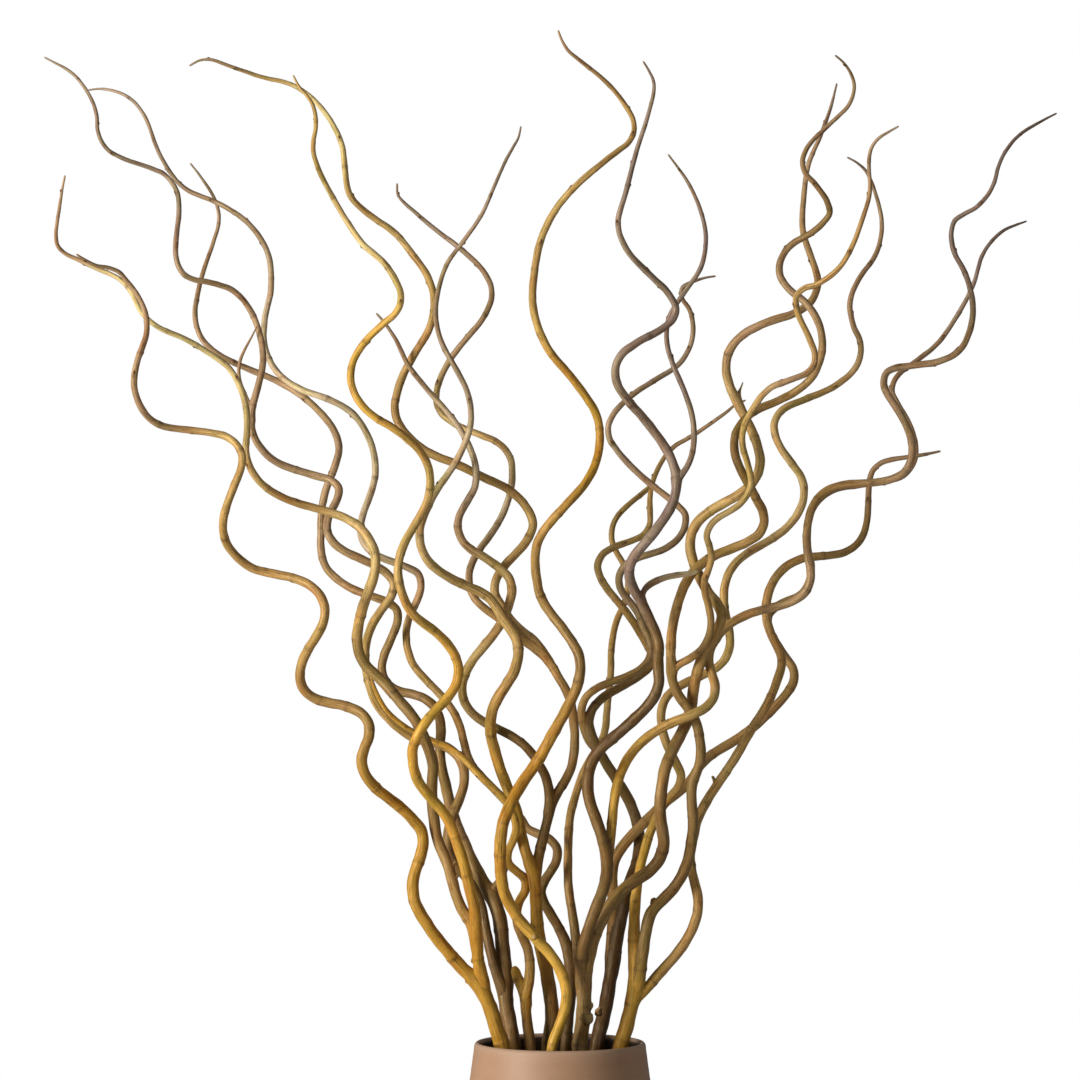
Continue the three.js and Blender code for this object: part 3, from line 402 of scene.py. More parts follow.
            (81, 443), (86, 454), (96, 461), (111, 466), (127, 468), (139, 471),
        ),
    ),
    Stem(
        "big twig", "big_brown_branch", grows_from="big right", lean=0.3, turn=0,
        girth=(1.8, 1.5, 1.1),
        tones="rose rose",
        bends=(
            (181, 634), (179, 646), (181, 655), (183, 660),
        ),
    ),
    Stem(
        "dark inner", "dark_branch", foot=(30, 24), depth=22, lean=0.24, turn=0.6,
        girth=(7.6, 7.5, 7.4, 7.2, 6, 5.6, 4.7, 4.2, 3.8, 2.8),
        tones="bog bog bog umber moss moss moss brown hazel honey honey honey",
        bends=(
            (37, -3), (42, 20), (47, 42), (50, 62), (54, 82), (57, 102), (61, 122), (65, 142), (70, 160),
            (76, 177), (79, 194), (79, 210), (75, 226), (68, 243), (59, 259), (49, 274), (40, 289),
            (33, 304), (29, 320), (33, 334), (44, 345), (59, 354), (74, 363), (87, 372), (93, 384),
            (87, 397), (79, 411), (70, 425), (59, 439), (48, 452), (40, 466), (38, 479), (45, 490),
            (60, 497), (76, 503), (88, 512), (90, 527), (90, 542), (91, 554),
        ),
    ),
    Stem(
        "dark looped", "dark_branch", grows_from="dark inner", lean=0.1, turn=2.2,
        girth=(4.2, 4, 4, 3.9, 3.6, 3.5, 3.4, 3, 2.8, 2.5, 1.6),
        tones="hazel hazel brown ochre ochre ochre ash rose ash smoke ochre plum",
        bends=(
            (38, 291), (30, 300), (24, 314), (21, 329), (25, 343), (36, 353), (51, 360), (68, 366),
            (83, 375), (91, 388), (89, 402), (83, 416), (77, 431), (68, 442), (60, 454), (60, 468),
            (68, 479), (83, 486), (100, 491), (115, 500), (124, 513), (125, 528), (115, 539), (102, 549),
            (87, 561), (70, 577), (56, 593), (48, 609), (53, 627), (71, 646), (95, 662), (120, 679),
            (132, 702), (131, 729), (120, 751), (137, 762), (156, 766),
        ),
    ),
    Stem(
        "dark far right", "dark_branch", grows_from="dark inner", lean=0.27, turn=5.2,
        girth=(5.8, 5.5, 5.2, 4.9, 4.5, 4.1, 3.7, 3.3, 2.8, 2.4, 1.6),
        tones="hazel hazel hazel brown brown brown brown ash ash ash plum plum",
        bends=(
            (51, 70), (51, 87), (52, 107), (53, 127), (53, 147), (52, 165), (54, 180), (62, 194), (73, 208),
            (85, 220), (96, 231), (108, 242), (121, 252), (132, 263), (140, 276), (151, 287), (166, 296),
            (182, 306), (197, 318), (211, 331), (224, 345), (233, 359), (234, 371), (226, 384), (217, 398),
            (209, 413), (209, 427), (222, 439), (239, 446), (249, 459), (251, 476), (247, 497), (248, 520),
            (256, 539), (273, 552), (297, 557), (320, 560), (342, 566), (354, 581), (355, 599), (349, 618),
            (339, 636), (332, 652), (338, 667), (355, 680), (378, 699), (400, 731), (414, 759), (424, 790),
            (443, 811), (467, 821),
        ),
    ),
    Stem(
        "right outer", "right_golden_branch", foot=(44, -6), depth=-3, lean=0.05, turn=1,
        girth=(8.6, 8.4, 8.2, 7, 4.7, 4.5, 4.4, 4.3, 4.1, 3.8, 3.1, 2.5, 1.5),
        tones="amber gold gold honey honey honey tan tan honey ash ash smoke",
        bends=(
            (60, -6), (66, 14), (71, 34), (74, 54), (75, 74), (74, 94), (74, 114), (75, 134), (77, 154),
            (80, 174), (85, 192), (90, 209), (97, 225), (106, 240), (117, 252), (121, 266), (115, 281),
            (108, 295), (103, 310), (101, 325), (104, 340), (114, 352), (129, 361), (145, 368), (159, 376),
            (168, 389), (170, 405), (167, 422), (164, 439), (165, 457), (172, 474), (186, 488), (205, 499),
            (223, 511), (237, 527), (244, 545), (242, 563), (230, 581), (219, 598), (214, 616), (221, 631),
            (246, 643), (275, 656), (296, 675), (301, 697), (293, 718), (290, 740), (299, 763), (316, 788),
            (322, 816), (316, 847), (306, 871), (293, 882), (287, 885),
        ),
    ),
    Stem(
        "right dark", "right_golden_branch", grows_from="right outer", lean=-0.14, turn=3.9,
        girth=(6.3, 5.8, 5.3, 4.9, 4.9, 4.8, 4.5, 4.1, 3.8, 3.6, 3, 2.2, 1.5),
        tones="moss moss moss brown hazel hazel brown brown ash moss ash ochre",
        bends=(
            (74, 45), (78, 57), (81, 77), (84, 97), (87, 116), (92, 131), (103, 142), (114, 154),
            (123, 169), (129, 186), (132, 204), (133, 222), (132, 239), (132, 256), (137, 271), (141, 286),
            (140, 302), (137, 317), (130, 331), (121, 343), (114, 357), (111, 374), (111, 392), (112, 410),
            (115, 428), (120, 445), (127, 461), (137, 474), (152, 485), (171, 493), (189, 501), (202, 512),
            (204, 527), (197, 542), (189, 557), (181, 572), (175, 589), (175, 606), (183, 620), (195, 631),
            (215, 640), (235, 650), (252, 665), (262, 690), (260, 715), (247, 738), (227, 755), (219, 772),
            (228, 794), (255, 812), (270, 830), (260, 852), (243, 874), (247, 894), (270, 918), (290, 939),
            (294, 960), (284, 979), (275, 987),
        ),
    ),
    Stem(
        "right low", "right_golden_branch", grows_from="right outer", lean=0.12, turn=0.1,
        girth=(5.4, 5.2, 4.9, 4.9, 4.6, 4.5, 4.6, 4.4, 3.7, 2.9, 1.9),
        tones="hazel hazel hazel hazel honey hazel hazel hazel brown brown ash ochre",
        bends=(
            (73, 40), (88, 55), (100, 69), (114, 85), (126, 101), (134, 117), (138, 134), (137, 150),
            (133, 166), (130, 184), (133, 202), (137, 220), (144, 236), (153, 251), (164, 267), (175, 284),
            (185, 301), (195, 318), (205, 334), (213, 350), (219, 367), (222, 382), (216, 398), (209, 414),
            (206, 431), (208, 447), (215, 463), (227, 476), (244, 484), (265, 486), (285, 490), (299, 500),
            (306, 515), (308, 534), (309, 553), (312, 570), (323, 580), (342, 584), (362, 587), (381, 591),
        ),
    ),
    Stem(
        "right slender", "right_golden_branch", grows_from="right dark", lean=-0.36, turn=5.7,
        girth=(4, 3.6, 3.3, 3.2, 3.2, 3.1, 3, 2.6, 2.1, 1.5),
        tones="moss brown hazel tan honey honey ash honey hazel hazel ash smoke",
        bends=(
            (112, 370), (123, 380), (137, 388), (147, 401), (151, 417), (149, 434), (145, 450), (145, 465),
            (151, 478), (150, 494), (147, 508), (154, 521), (170, 531), (184, 542), (191, 558), (188, 577),
            (183, 595), (183, 612), (190, 628), (199, 642), (210, 654), (233, 663), (251, 672), (255, 686),
            (247, 709), (237, 732), (238, 750), (258, 758), (278, 773), (292, 795), (302, 822), (310, 850),
            (309, 882), (314, 899), (327, 909), (339, 916),
        ),
    ),
)
BRANCHES = tuple(dict.fromkeys(stem.branch for stem in STEMS))


# ---- routes ----


def smooth_line(points):
    """The centripetal Catmull-Rom line through the points, as a function of t from 0 to 1 with an equal step
    of t for each span. A span is the cubic whose end slopes come from its neighbours, each gap weighted by
    the square root of its length."""
    points = np.asarray(points, float)
    spread = np.vstack([2 * points[0] - points[1], points, 2 * points[-1] - points[-2]])
    step = np.diff(spread, axis=0)
    gap = np.sqrt(np.linalg.norm(step, axis=1))[:, None]
    before, here, after = gap[:-2], gap[1:-1], gap[2:]
    leave = step[:-2] / before - (step[:-2] + step[1:-1]) / (before + here) + step[1:-1] / here
    reach = step[1:-1] / here - (step[1:-1] + step[2:]) / (here + after) + step[2:] / after
    first, last = points[:-1], points[1:]
    leave, reach = leave * here, reach * here
    square = 3 * (last - first) - 2 * leave - reach
    cube = 2 * (first - last) + leave + reach

    def at(t):
        where = np.clip(np.asarray(t, float), 0, 1) * (len(points) - 1)
        span = np.minimum(where.astype(int), len(points) - 2)
        w = (where - span)[..., None]
        return first[span] + w * (leave[span] + w * (square[span] + w * cube[span]))

    return at


def measure(line, divisions):
    """t and the length run so far, at equal steps of t along a line."""
    t = np.linspace(0, 1, divisions + 1)
    chords = np.linalg.norm(np.diff(line(t), axis=0), axis=1)
    return t, np.concatenate([[0.0], np.cumsum(chords)])


def even_steps(values, t):
    """The value at t (0 to 1) of a row of values at even steps, straight between them."""
    return np.interp(t, np.linspace(0, 1, len(values)), values)


class Route:
    """One stem's beads: x, h (above the lip), y, r and s (run from the base) at even steps of its line."""

    def __init__(self, stem, parent):
        self.stem, self.parent = stem, parent
        flat = list(stem.bends)
        if stem.foot:
            flat.insert(0, (stem.foot[0], STEM_FOOT - VASE_HEIGHT))
        line = smooth_line(flat)
        t, run = measure(line, divisions=12 * len(flat))
        self.s = np.linspace(0, run[-1], round(run[-1] / BEAD) + 1)
        self.x, self.h = line(np.interp(self.s, run, t)).T
        self.r = even_steps(stem.girth, self.s / run[-1])
        self.start = parent.nearest(self.x[0], self.h[0]) if parent else None
        self.y = self.first_depths()

    def nearest(self, x, h):
        """The number of the bead nearest to (x, h) in front view."""
        return int(np.argmin(np.hypot(self.x - x, self.h - h)))

    def first_depths(self):
        """Depth before easing: from the foot straight to the lip, then the lean times the rise plus a sine
        along the run whose swing grows over SWAY_START."""
        stem, parent = self.stem, self.parent
        origin_y, origin_h = (parent.y[self.start], parent.h[self.start]) if parent else (stem.depth, 0)
        run = np.maximum(0, self.s - (VASE_HEIGHT if stem.foot else 0))
        sway = SWAY * np.minimum(1, run / SWAY_START) * np.sin(stem.turn + 2 * np.pi * run / SWAY_PITCH)
        depths = origin_y + stem.lean * (self.h - origin_h) + sway
        if stem.foot:
            up = (self.h + VASE_HEIGHT - STEM_FOOT) / (VASE_HEIGHT - STEM_FOOT)
            inside = stem.foot[1] + (stem.depth - stem.foot[1]) * up
            depths = np.where(self.h < 0, inside, depths)
        return depths

    def placed(self):
        """The beads as (x, y, z) in millimetres."""
        return fan_out(self.x, self.h, self.y)


def fan_out(x, h, y):
    """x, y, z of beads: what leans back by y also stands wider about the fan's centre, by y / FAN_LENGTH
    times how free it is of the vase's floor."""
    widen = 1 + np.minimum(1, 1 + h / (VASE_HEIGHT - STEM_FOOT)) * y / FAN_LENGTH
    z = VASE_HEIGHT + h
    return np.stack(
        [FAN_CENTRE[0] + (x - FAN_CENTRE[0]) * widen, y, FAN_CENTRE[1] + (z - FAN_CENTRE[1]) * widen], axis=-1
    )


def close_pairs(routes, x, h, r, s, owner):
    """Numbers of the bead pairs that lie close in front view, apart from those at a fork's own start."""
    name = {route.stem.name: i for i, route in enumerate(routes)}
    source = np.array([name.get(route.stem.grows_from, -1) for route in routes])[owner]
    a, b = np.triu_indices(len(x), 1)
    near = np.hypot(x[a] - x[b], h[a] - h[b]) <= r[a] + r[b] + CLEARANCE + WATCHED
    a, b = a[near], b[near]
    skip = owner[a] == owner[b]
    skip |= (source[b] == owner[a]) & (s[b] < FORK_FREE)
    skip |= (source[a] == owner[b]) & (s[a] < FORK_FREE)
    skip |= (source[a] >= 0) & (source[a] == source[b]) & (np.minimum(s[a], s[b]) < TWIN_FREE)
    return a[~skip], b[~skip]


def ease_apart(routes):
    """Moves beads in depth over EASING_ROUNDS rounds to part stems that touch. In each round every pair that
    is nearer than its two radii and the clearance pushes half its shortfall each way. A push is averaged
    along its stem, as four tenths of it and three of each neighbour's. Feet and the vase's mouth hold their
    stems, and a fork's start moves with the stem that it grows from."""
    x, h, r, s, y = (np.concatenate([getattr(route, key) for route in routes]) for key in "xhrsy")
    sizes = [len(route.x) for route in routes]
    first = np.cumsum([0] + sizes[:-1])
    owner = np.repeat(np.arange(len(routes)), sizes)
    number = np.arange(len(x))
    before = np.maximum(first[owner], number - 1)
    after = np.minimum((first + sizes)[owner] - 1, number + 1)
    footed = np.array([bool(route.stem.foot) for route in routes])[owner]
    hold = np.where(footed, np.minimum(1, s / FOOT_HOLD), 1) * PUSH
    room = LIP_RADIUS - WALL - r - MOUTH_ROOM
    most = np.where(h < MOUTH_RISE, np.sqrt(np.maximum(1, room**2 - x**2)), np.inf)
    a, b = close_pairs(routes, x, h, r, s, owner)
    need = r[a] + r[b] + CLEARANCE
    for _ in range(EASING_ROUNDS):
        spots = fan_out(x, h, y)
        side = np.hypot(spots[a, 0] - spots[b, 0], spots[a, 2] - spots[b, 2])
        depth = y[a] - y[b]
        short = np.sqrt(np.maximum(0, need**2 - side**2)) - np.abs(depth)
        touch = np.hypot(side, depth) < need
        way = np.where(touch, np.where(depth < 0, -0.5, 0.5) * short, 0)
        push = np.bincount(a, way, len(x)) - np.bincount(b, way, len(x))
        push /= np.maximum(1, np.bincount(a, touch, len(x)) + np.bincount(b, touch, len(x)))
        for _ in range(EVENING_ROUNDS):
            push = push * 0.4 + (push[before] + push[after]) * 0.3
        y = np.clip(y + push * hold, -most, most)
        for i, route in enumerate(routes):
            if route.parent:
                anchor = first[routes.index(route.parent)] + route.start
                own = slice(first[i], first[i] + sizes[i])
                y[own] += (y[anchor] - y[first[i]]) * np.maximum(0, 1 - route.s / FORK_HOLD)
    for i, route in enumerate(routes):
        route.y = y[first[i] : first[i] + sizes[i]]


@lru_cache(maxsize=1)
def eased_routes():
    """Every stem's route by name, eased apart, and checked against the solids' boxes."""
    routes = {}
    for stem in STEMS:
        routes[stem.name] = Route(stem, routes.get(stem.grows_from))
    ease_apart(list(routes.values()))
    for branch in BRANCHES:
        spots = np.vstack([route.placed() for route in routes.values() if route.stem.branch == branch])
        low, high = (np.array(corner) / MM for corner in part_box(branch))
        slip = max(np.abs(spots.min(0) - low).max(), np.abs(spots.max(0) - high).max())
        if slip > MOST_STRAY:
            raise RuntimeError(f"{branch} strays {slip:.1f} mm from its solid")
    return routes


# ---- shapes ----


class Skin:
    """A mesh being gathered: vertices in millimetres, faces, and named layers of values at the vertices.
    FIELDS says what each kind of layer calls its values."""

    FIELDS = {"FLOAT_COLOR": "color", "FLOAT_VECTOR": "vector", "FLOAT": "value"}

    def __init__(self, **layers):
        self.kinds = layers
        self.points, self.values = [], {name: [] for name in layers}
        self.triangles, self.quads = [], []
        self.count = 0

    def add_tube(self, grid, **values):
        """A closed tube: a grid of rings by sides joined round, and a pole at the middle of each end ring."""
        rings, sides = grid.shape[:2]
        for store, rows in [(self.points, grid)] + [(self.values[key], values[key]) for key in self.kinds]:
            ends = np.stack([rows[0].mean(0), rows[-1].mean(0)])
            store.append(np.concatenate([rows.reshape(rings * sides, -1), ends.reshape(2, -1)]))
        here = np.arange(sides)[None]
        after = (here + 1) % sides
        row = self.count + np.arange(rings - 1)[:, None] * sides
        quads = np.stack([row + here, row + after, row + sides + after, row + sides + here], axis=-1)
        self.quads.append(quads.reshape(-1, 4))
        pole, top = self.count + rings * sides, self.count + (rings - 1) * sides
        first_cap = np.stack([0 * here + pole, self.count + after, self.count + here], axis=-1)
        last_cap = np.stack([top + here, top + after, 0 * here + pole + 1], axis=-1)
        self.triangles += [first_cap.reshape(-1, 3), last_cap.reshape(-1, 3)]
        self.count += rings * sides + 2

    def make(self, name, material):
        """The finished piece, smooth shaded, riding on the root body."""
        faces = [np.concatenate(self.triangles), np.concatenate(self.quads)]
        sizes = np.concatenate([np.full(len(part), part.shape[1]) for part in faces]).astype(np.int32)
        corners = np.concatenate([part.ravel() for part in faces]).astype(np.int32)
        starts = np.concatenate([[0], np.cumsum(sizes)[:-1]]).astype(np.int32)
        mesh = bpy.data.meshes.new(name)
        mesh.vertices.add(self.count)
        mesh.vertices.foreach_set("co", (np.concatenate(self.points) * MM).astype(np.float32).ravel())
        mesh.loops.add(len(corners))
        mesh.loops.foreach_set("vertex_index", corners)
        mesh.polygons.add(len(sizes))
        mesh.polygons.foreach_set("loop_start", starts)
        mesh.polygons.foreach_set("loop_total", sizes)
        mesh.polygons.foreach_set("use_smooth", np.ones(len(sizes), bool))
        for key, kind in self.kinds.items():
            layer = mesh.attributes.new(key, kind, "POINT")
            rows = np.concatenate(self.values[key]).astype(np.float32).ravel()
            layer.data.foreach_set(self.FIELDS[kind], rows)
        mesh.update(calc_edges=True)
        if mesh.validate():
            raise RuntimeError(f"{name} has broken faces")
        mesh.materials.append(material)
        piece = bpy.data.objects.new(name, mesh)
        bpy.context.scene.collection.objects.link(piece)
        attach(piece, "root")
        return piece


def even_angles(count):
    """Angles at even steps round a ring, from 0."""
    return np.linspace(0, 2 * np.pi, count, endpoint=False)


def ring_frames(centres):
    """Three directions at each ring: the path's slope, then the cross product of +Y with it, which points
    sideways, and the cross product of those two, which points back."""
    slope = np.gradient(centres, axis=0)
    slope /= np.linalg.norm(slope, axis=1, keepdims=True)
    side = np.cross([0.0, 1.0, 0.0], slope)
    side /= np.linalg.norm(side, axis=1, keepdims=True)
    return slope, side, np.cross(slope, side)


def tube_grid(centres, side, back, radius):
    """A tube's points, rings by sides: the ring's centre plus its radius at each angle, times the cosine of
    the angle along side and the sine along back."""
    angle = even_angles(radius.shape[1])
    round_way = np.cos(angle)[None, :, None] * side[:, None] + np.sin(angle)[None, :, None] * back[:, None]
    return centres[:, None] + radius[..., None] * round_way


def nearby(run, places, width):
    """How near each run is to each place: a bell curve of the gap over the width, runs by places."""
    return np.exp(-(((run[:, None] - np.asarray(places)[None]) / width) ** 2))


def drawn_in(run):
    """How a fork's base narrows inside its parent: 1 less half a bell curve 9 mm wide."""
    return 1 - 0.5 * np.exp(-((run / 9) ** 2))


def thinned(left):
    """How a twig's last stretch thins: 1 less 0.35 of a bell curve 20 mm wide of the run that is left."""
    return 1 - 0.35 * np.exp(-((left / 20) ** 2))


def skin_gap(points, route, bead, reach=7, steps=90):
    """How far points stand from a stem's skin, some beads either way of one of its beads: the least of their
    distances to its line, each less the radius there."""
    last = len(route.s) - 1
    place = np.linspace(max(0, bead - reach), min(last, bead + reach), steps)
    thick = even_steps(route.r, place / last)
    if route.parent:
        thick = thick * drawn_in(place * BEAD)
    spots = smooth_line(route.placed())(place / last)
    return (np.linalg.norm(points[..., None, :] - spots, axis=-1) - thick).min(-1)


def tones_along(route, palette, part):
    """A stem's tones as linear colours, blended in even steps from the lip to the tip, at these parts of its
    whole length."""
    rise = slice(30)  # its first beads, which only climb
    lip = np.interp(0, route.h[rise], route.s[rise]) / route.s[-1] if route.stem.foot else 0
    tones = np.array([palette[name] for name in route.stem.tones.split()])
    step = np.clip((part - lip) / (1 - lip), 0, 1) * (len(tones) - 1)
    return np.stack([np.interp(step, np.arange(len(tones)), tones[:, i]) for i in range(3)], axis=-1)


class StemShape:
    """A stem's rings, nodes and skin, all worked out from its route."""

    def __init__(self, route, routes, number, sizes):
        self.route, self.number = route, number
        self.rng = np.random.default_rng(100 + number)
        beads = route.placed()
        self.line = smooth_line(beads)
        self.t, self.run = measure(self.line, divisions=8 * len(beads))
        self.length = self.run[-1]
        stem = route.stem
        self.tip = TIP_RADII * stem.girth[-1]
        self.s = self.ring_runs(sizes.ring_step / MM)
        self.centres = self.at(self.s)
        self.sides = sizes.sides if max(stem.girth) > THICK_STEM else sizes.sides * 2 // 3
        self.slope, self.side, self.back = ring_frames(self.centres)
        self.place_nodes(sizes.node_gap / MM)
        self.wave_starts = self.rng.uniform(0, 6.28, 5)  # one for each wave, and two spare
        grown = [other for other in routes.values() if other.parent is route]
        self.forks = [(other, 0, self.run_at(other.start)) for other in grown]
        if route.parent:
            self.forks.append((route.parent, route.start, 0.0))

    def run_at(self, bead):
        """The run at one of the route's beads."""
        return float(np.interp(bead / (len(self.route.s) - 1), self.t, self.run))

    def at(self, run):
        """Points on the stem's line at these runs."""
        return self.line(np.interp(run, self.run, self.t))

    def ways_at(self, run):
        """The slope, side and back directions at these runs."""
        return [
            np.stack([np.interp(run, self.s, way[:, i]) for i in range(3)], axis=-1)
            for way in (self.slope, self.side, self.back)
        ]

    def ring_runs(self, step):
        """Even steps of run, then ever shorter ones that round the tip: the tip's length times the sine of
        one to four fifths of a right angle."""
        body = np.linspace(0, self.length - self.tip, round((self.length - self.tip) / step) + 1)
        end = self.length - self.tip * (1 - np.sin(np.linspace(0, np.pi / 2, 6)[1:-1]))
        return np.concatenate([body, end])

    def place_nodes(self, gap):
        """Leaf nodes: their runs close up towards the tip, as the length times u to the 0.86, each moved by
        up to 0.16 of the gap, and each turns by 137.5 degrees (2.4 radians) from the last."""
        count = max(1, round(self.length / gap))
        u = (np.arange(count) + 0.6) / (count + 0.2)
        self.nodes = self.length * u**0.86 + self.rng.uniform(-0.16, 0.16, count) * gap
        self.node_angles = self.rng.uniform(0, 6.28) + 2.4 * np.arange(count)

    def girth(self, run):
        """The radius at these runs, before waves and nodes."""
        return even_steps(self.route.stem.girth, run / self.length)

    def radii(self):
        """Radius over the skin, rings by sides. The girth is multiplied by slow waves along and round the
        stem. Each leaf node adds a bell curve along the run that is strongest on the node's own side, and a
        small raised scar; every third one is ringed. A twig's end thins out. A fork's base is drawn in, and
        where it meets its parent both skins swell by a quarter of FILLET times the square of 1 less their
        gap over FILLET."""
        s, angle = self.s, even_angles(self.sides)
        girth = self.girth(s)[:, None]
        wave = sum(
            depth * np.sin(2 * np.pi * s[:, None] / pitch + start + times * angle)
            for (depth, pitch, times), start in zip(WAVES, self.wave_starts)
        )
        if self.route.parent:
            girth = girth * drawn_in(s)[:, None]
        if self.route.stem.girth[-1] < TWIG_END:
            girth = girth * thinned(self.length - s)[:, None]
        facing = np.cos(angle[None] - self.node_angles[:, None])
        scar = nearby(s, self.nodes - 1.0, 1.7) @ np.exp(-((1 - facing) / 0.16))
        lift = nearby(s, self.nodes, 2.6) @ (0.5 + 0.5 * facing)
        ring = nearby(s, self.nodes[::3], 1.3).sum(1)[:, None]
        radius = girth * (1 + wave) + (0.05 + 0.035 * girth) * lift + 0.16 * scar + 0.05 * girth * ring
        self.scar = np.clip(scar + 0.6 * ring, 0, 1)
        for other, bead, run in self.forks:
            near = np.abs(s - run) < FORK_REACH
            skin = tube_grid(self.centres[near], self.side[near], self.back[near], radius[near])
            gap = np.abs(skin_gap(skin, other, bead))
            fade = np.clip((FORK_REACH - np.abs(s[near] - run)) / FORK_FADE, 0, 1)[:, None]
            radius[near] += fade * FILLET / 4 * np.clip(1 - gap / FILLET, 0, 1) ** 2
        ends = np.sqrt(np.clip(1 - ((s - self.length + self.tip) / self.tip).clip(0) ** 2, 0.0, 1))
        return radius * ends[:, None]

    def colours(self, palette):
        """The stem's own tones over the skin, rings by sides; a fork starts in its parent's tone and leaves
        it along a bell curve 28 mm wide."""
        blend = tones_along(self.route, palette, self.s / self.length)
        parent = self.route.parent
        if parent:
            theirs = tones_along(parent, palette, np.array([self.route.start / (len(parent.s) - 1)]))
            blend += (theirs - blend) * np.exp(-((self.s / 28) ** 2))[:, None]
        blend = np.concatenate([blend, np.ones((len(blend), 1))], axis=1)
        return np.repeat(blend[:, None], self.sides, axis=1)

    def straight(self):
        """Where the skin would lie if the stem were straightened along z: radius times cosine and sine of
        the angle, and the run, in metres, with GRAIN_APART between one stem and the next."""
        angle = even_angles(self.sides)
        girth = self.girth(self.s)[:, None]
        run = np.repeat((self.s + GRAIN_APART * self.number)[:, None], self.sides, axis=1)
        return np.stack([girth * np.cos(angle), girth * np.sin(angle), run], axis=-1) * MM

    def add_to(self, skin, palette):
        """Adds the stem's tube to a skin."""
        grid = tube_grid(self.centres, self.side, self.back, self.radii())
        skin.add_tube(grid, bark=self.colours(palette), grain=self.straight(), scar=self.scar[..., None])


# ---- buds and snags ----

# Where twigs have broken off each stem: (x, height above the lip), side in degrees round the stem (0 is
# its right, 90 its back, 180 its left, 270 its front), length past the bark, and radius.
SNAGS = {
    "big right": (((27, 22), 312, 1.8, 4.4), ((31, 31), 344, 2.6, 2.6)),
    "dark inner": (((43, 27), 208, 2.6, 3.4),),
    "right dark": (((93, 137), 160, 3.0, 2.6),),
    "left middle": (((-106, 164), 352, 3.6, 1.7), ((-110, 175), 350, 4.4, 1.7)),
    "right low": (((152, 262), 190, 5.5, 1.5),),
    "left low": (((-88, 66), 150, 2.0, 2.2),),
    "front golden": (((-26, 102), 265, 1.6, 2.2),),
    "left bright": (((-82, 84), 170, 1.8, 1.8),),
}


def bud_grid(length, width, depth, rings=6, sides=8):
    """A bud's points along, out and across: for u from base to tip, the half-thickness is the sine of pi
    times u to the 0.62, to the power 0.8, and its middle line bows out from the bark and back in by half its
    depth times the sine of pi times u to the 0.8."""
    u = np.linspace(0.02, 0.98, rings)[:, None]
    angle = even_angles(sides)[None]
    full = np.sin(np.pi * u**0.62) ** 0.8
    out = depth * (0.5 * np.sin(np.pi * u**0.8) + full * np.cos(angle))
    return np.stack([length * u + 0 * angle, out, width * full * np.sin(angle)], axis=-1)


def buds_on(shape, skin, sizes, palette):
    """Buds at nodes of the thinner stretches, each lying along the bark on its node's own side, longer on a
    thicker stem, and in one of three shades."""
    girth = shape.girth(shape.nodes)
    chosen = shape.rng.uniform(0, 1, len(girth)) < BUDDED
    keep = (girth < BUD_GIRTH) & (shape.nodes > BUD_START) & chosen
    centres = shape.at(shape.nodes[keep])
    slopes, sides, backs = shape.ways_at(shape.nodes[keep])
    angles = shape.node_angles[keep][:, None]
    outs = np.cos(angles) * sides + np.sin(angles) * backs
    crosses = np.cos(angles) * backs - np.sin(angles) * sides
    for i, r in enumerate(girth[keep]):
        length = sizes.bud_length / MM * (0.55 + 0.13 * r)
        grid = bud_grid(length, 0.24 * length, 0.17 * length)
        spot = centres[i] + outs[i] * r * 0.98
        points = spot + grid[..., :1] * slopes[i] + grid[..., 1:2] * outs[i] + grid[..., 2:] * crosses[i]
        colour = np.array([*palette["bud"], 1.0]) * (0.8 + 0.2 * (i % 3))
        tint = np.tile(colour, grid.shape[:2] + (1,))
        skin.add_tube(points, bark=tint, grain=grid * MM, scar=np.zeros(grid.shape[:2] + (1,)))


def snag_on(shape, skin, snag, palette, rings=12, sides=14):
    """A short broken twig: a straight tube leaning up and outwards, with two waves round its edge. Its base
    flares by 0.7 of an exponential 1.4 mm long, and its last ring is narrower, bare wood."""
    (x, h), side, length, radius = snag
    route = shape.route
    run = route.s[route.nearest(x, h)]
    spot, bark_radius = shape.at(run), float(shape.girth(run))
    slope, right, back = shape.ways_at(run)
    turn = math.radians(side)
    way = 0.45 * slope + 0.9 * (math.cos(turn) * right + math.sin(turn) * back)
    way /= np.linalg.norm(way)
    across = np.cross(way, slope)
    across /= np.linalg.norm(across)
    u = np.linspace(0, 1, rings)[:, None]
    reach = u * (bark_radius + length)
    angle = even_angles(sides)
    ragged = 1 + 0.1 * np.sin(3 * angle + side) + 0.07 * np.sin(5 * angle + 2)
    flare = 1 + 0.7 * np.exp(-((reach - bark_radius).clip(0) / 1.4))
    taper = np.where(u == 1, 0.82, 1) * flare
    every_ring = np.ones((rings, 1))
    grid = tube_grid(
        spot + reach * way, across * every_ring, np.cross(way, across) * every_ring, radius * taper * ragged
    )
    tones = shape.colours(palette)[np.searchsorted(shape.s, run)][0]
    colour = np.where(u == 1, [*palette["wood"], 1.0], tones)
    dark = np.clip(1.2 - 2 * np.abs(u - 0.8), 0, 0.5)
    every_side = np.ones((1, sides, 1))
    skin.add_tube(
        grid,
        bark=colour[:, None] * every_side,
        grain=(grid - spot + [0, 0, 500 * shape.number]) * MM,
        scar=dark[:, None] * every_side,
    )


# ---- the vase ----


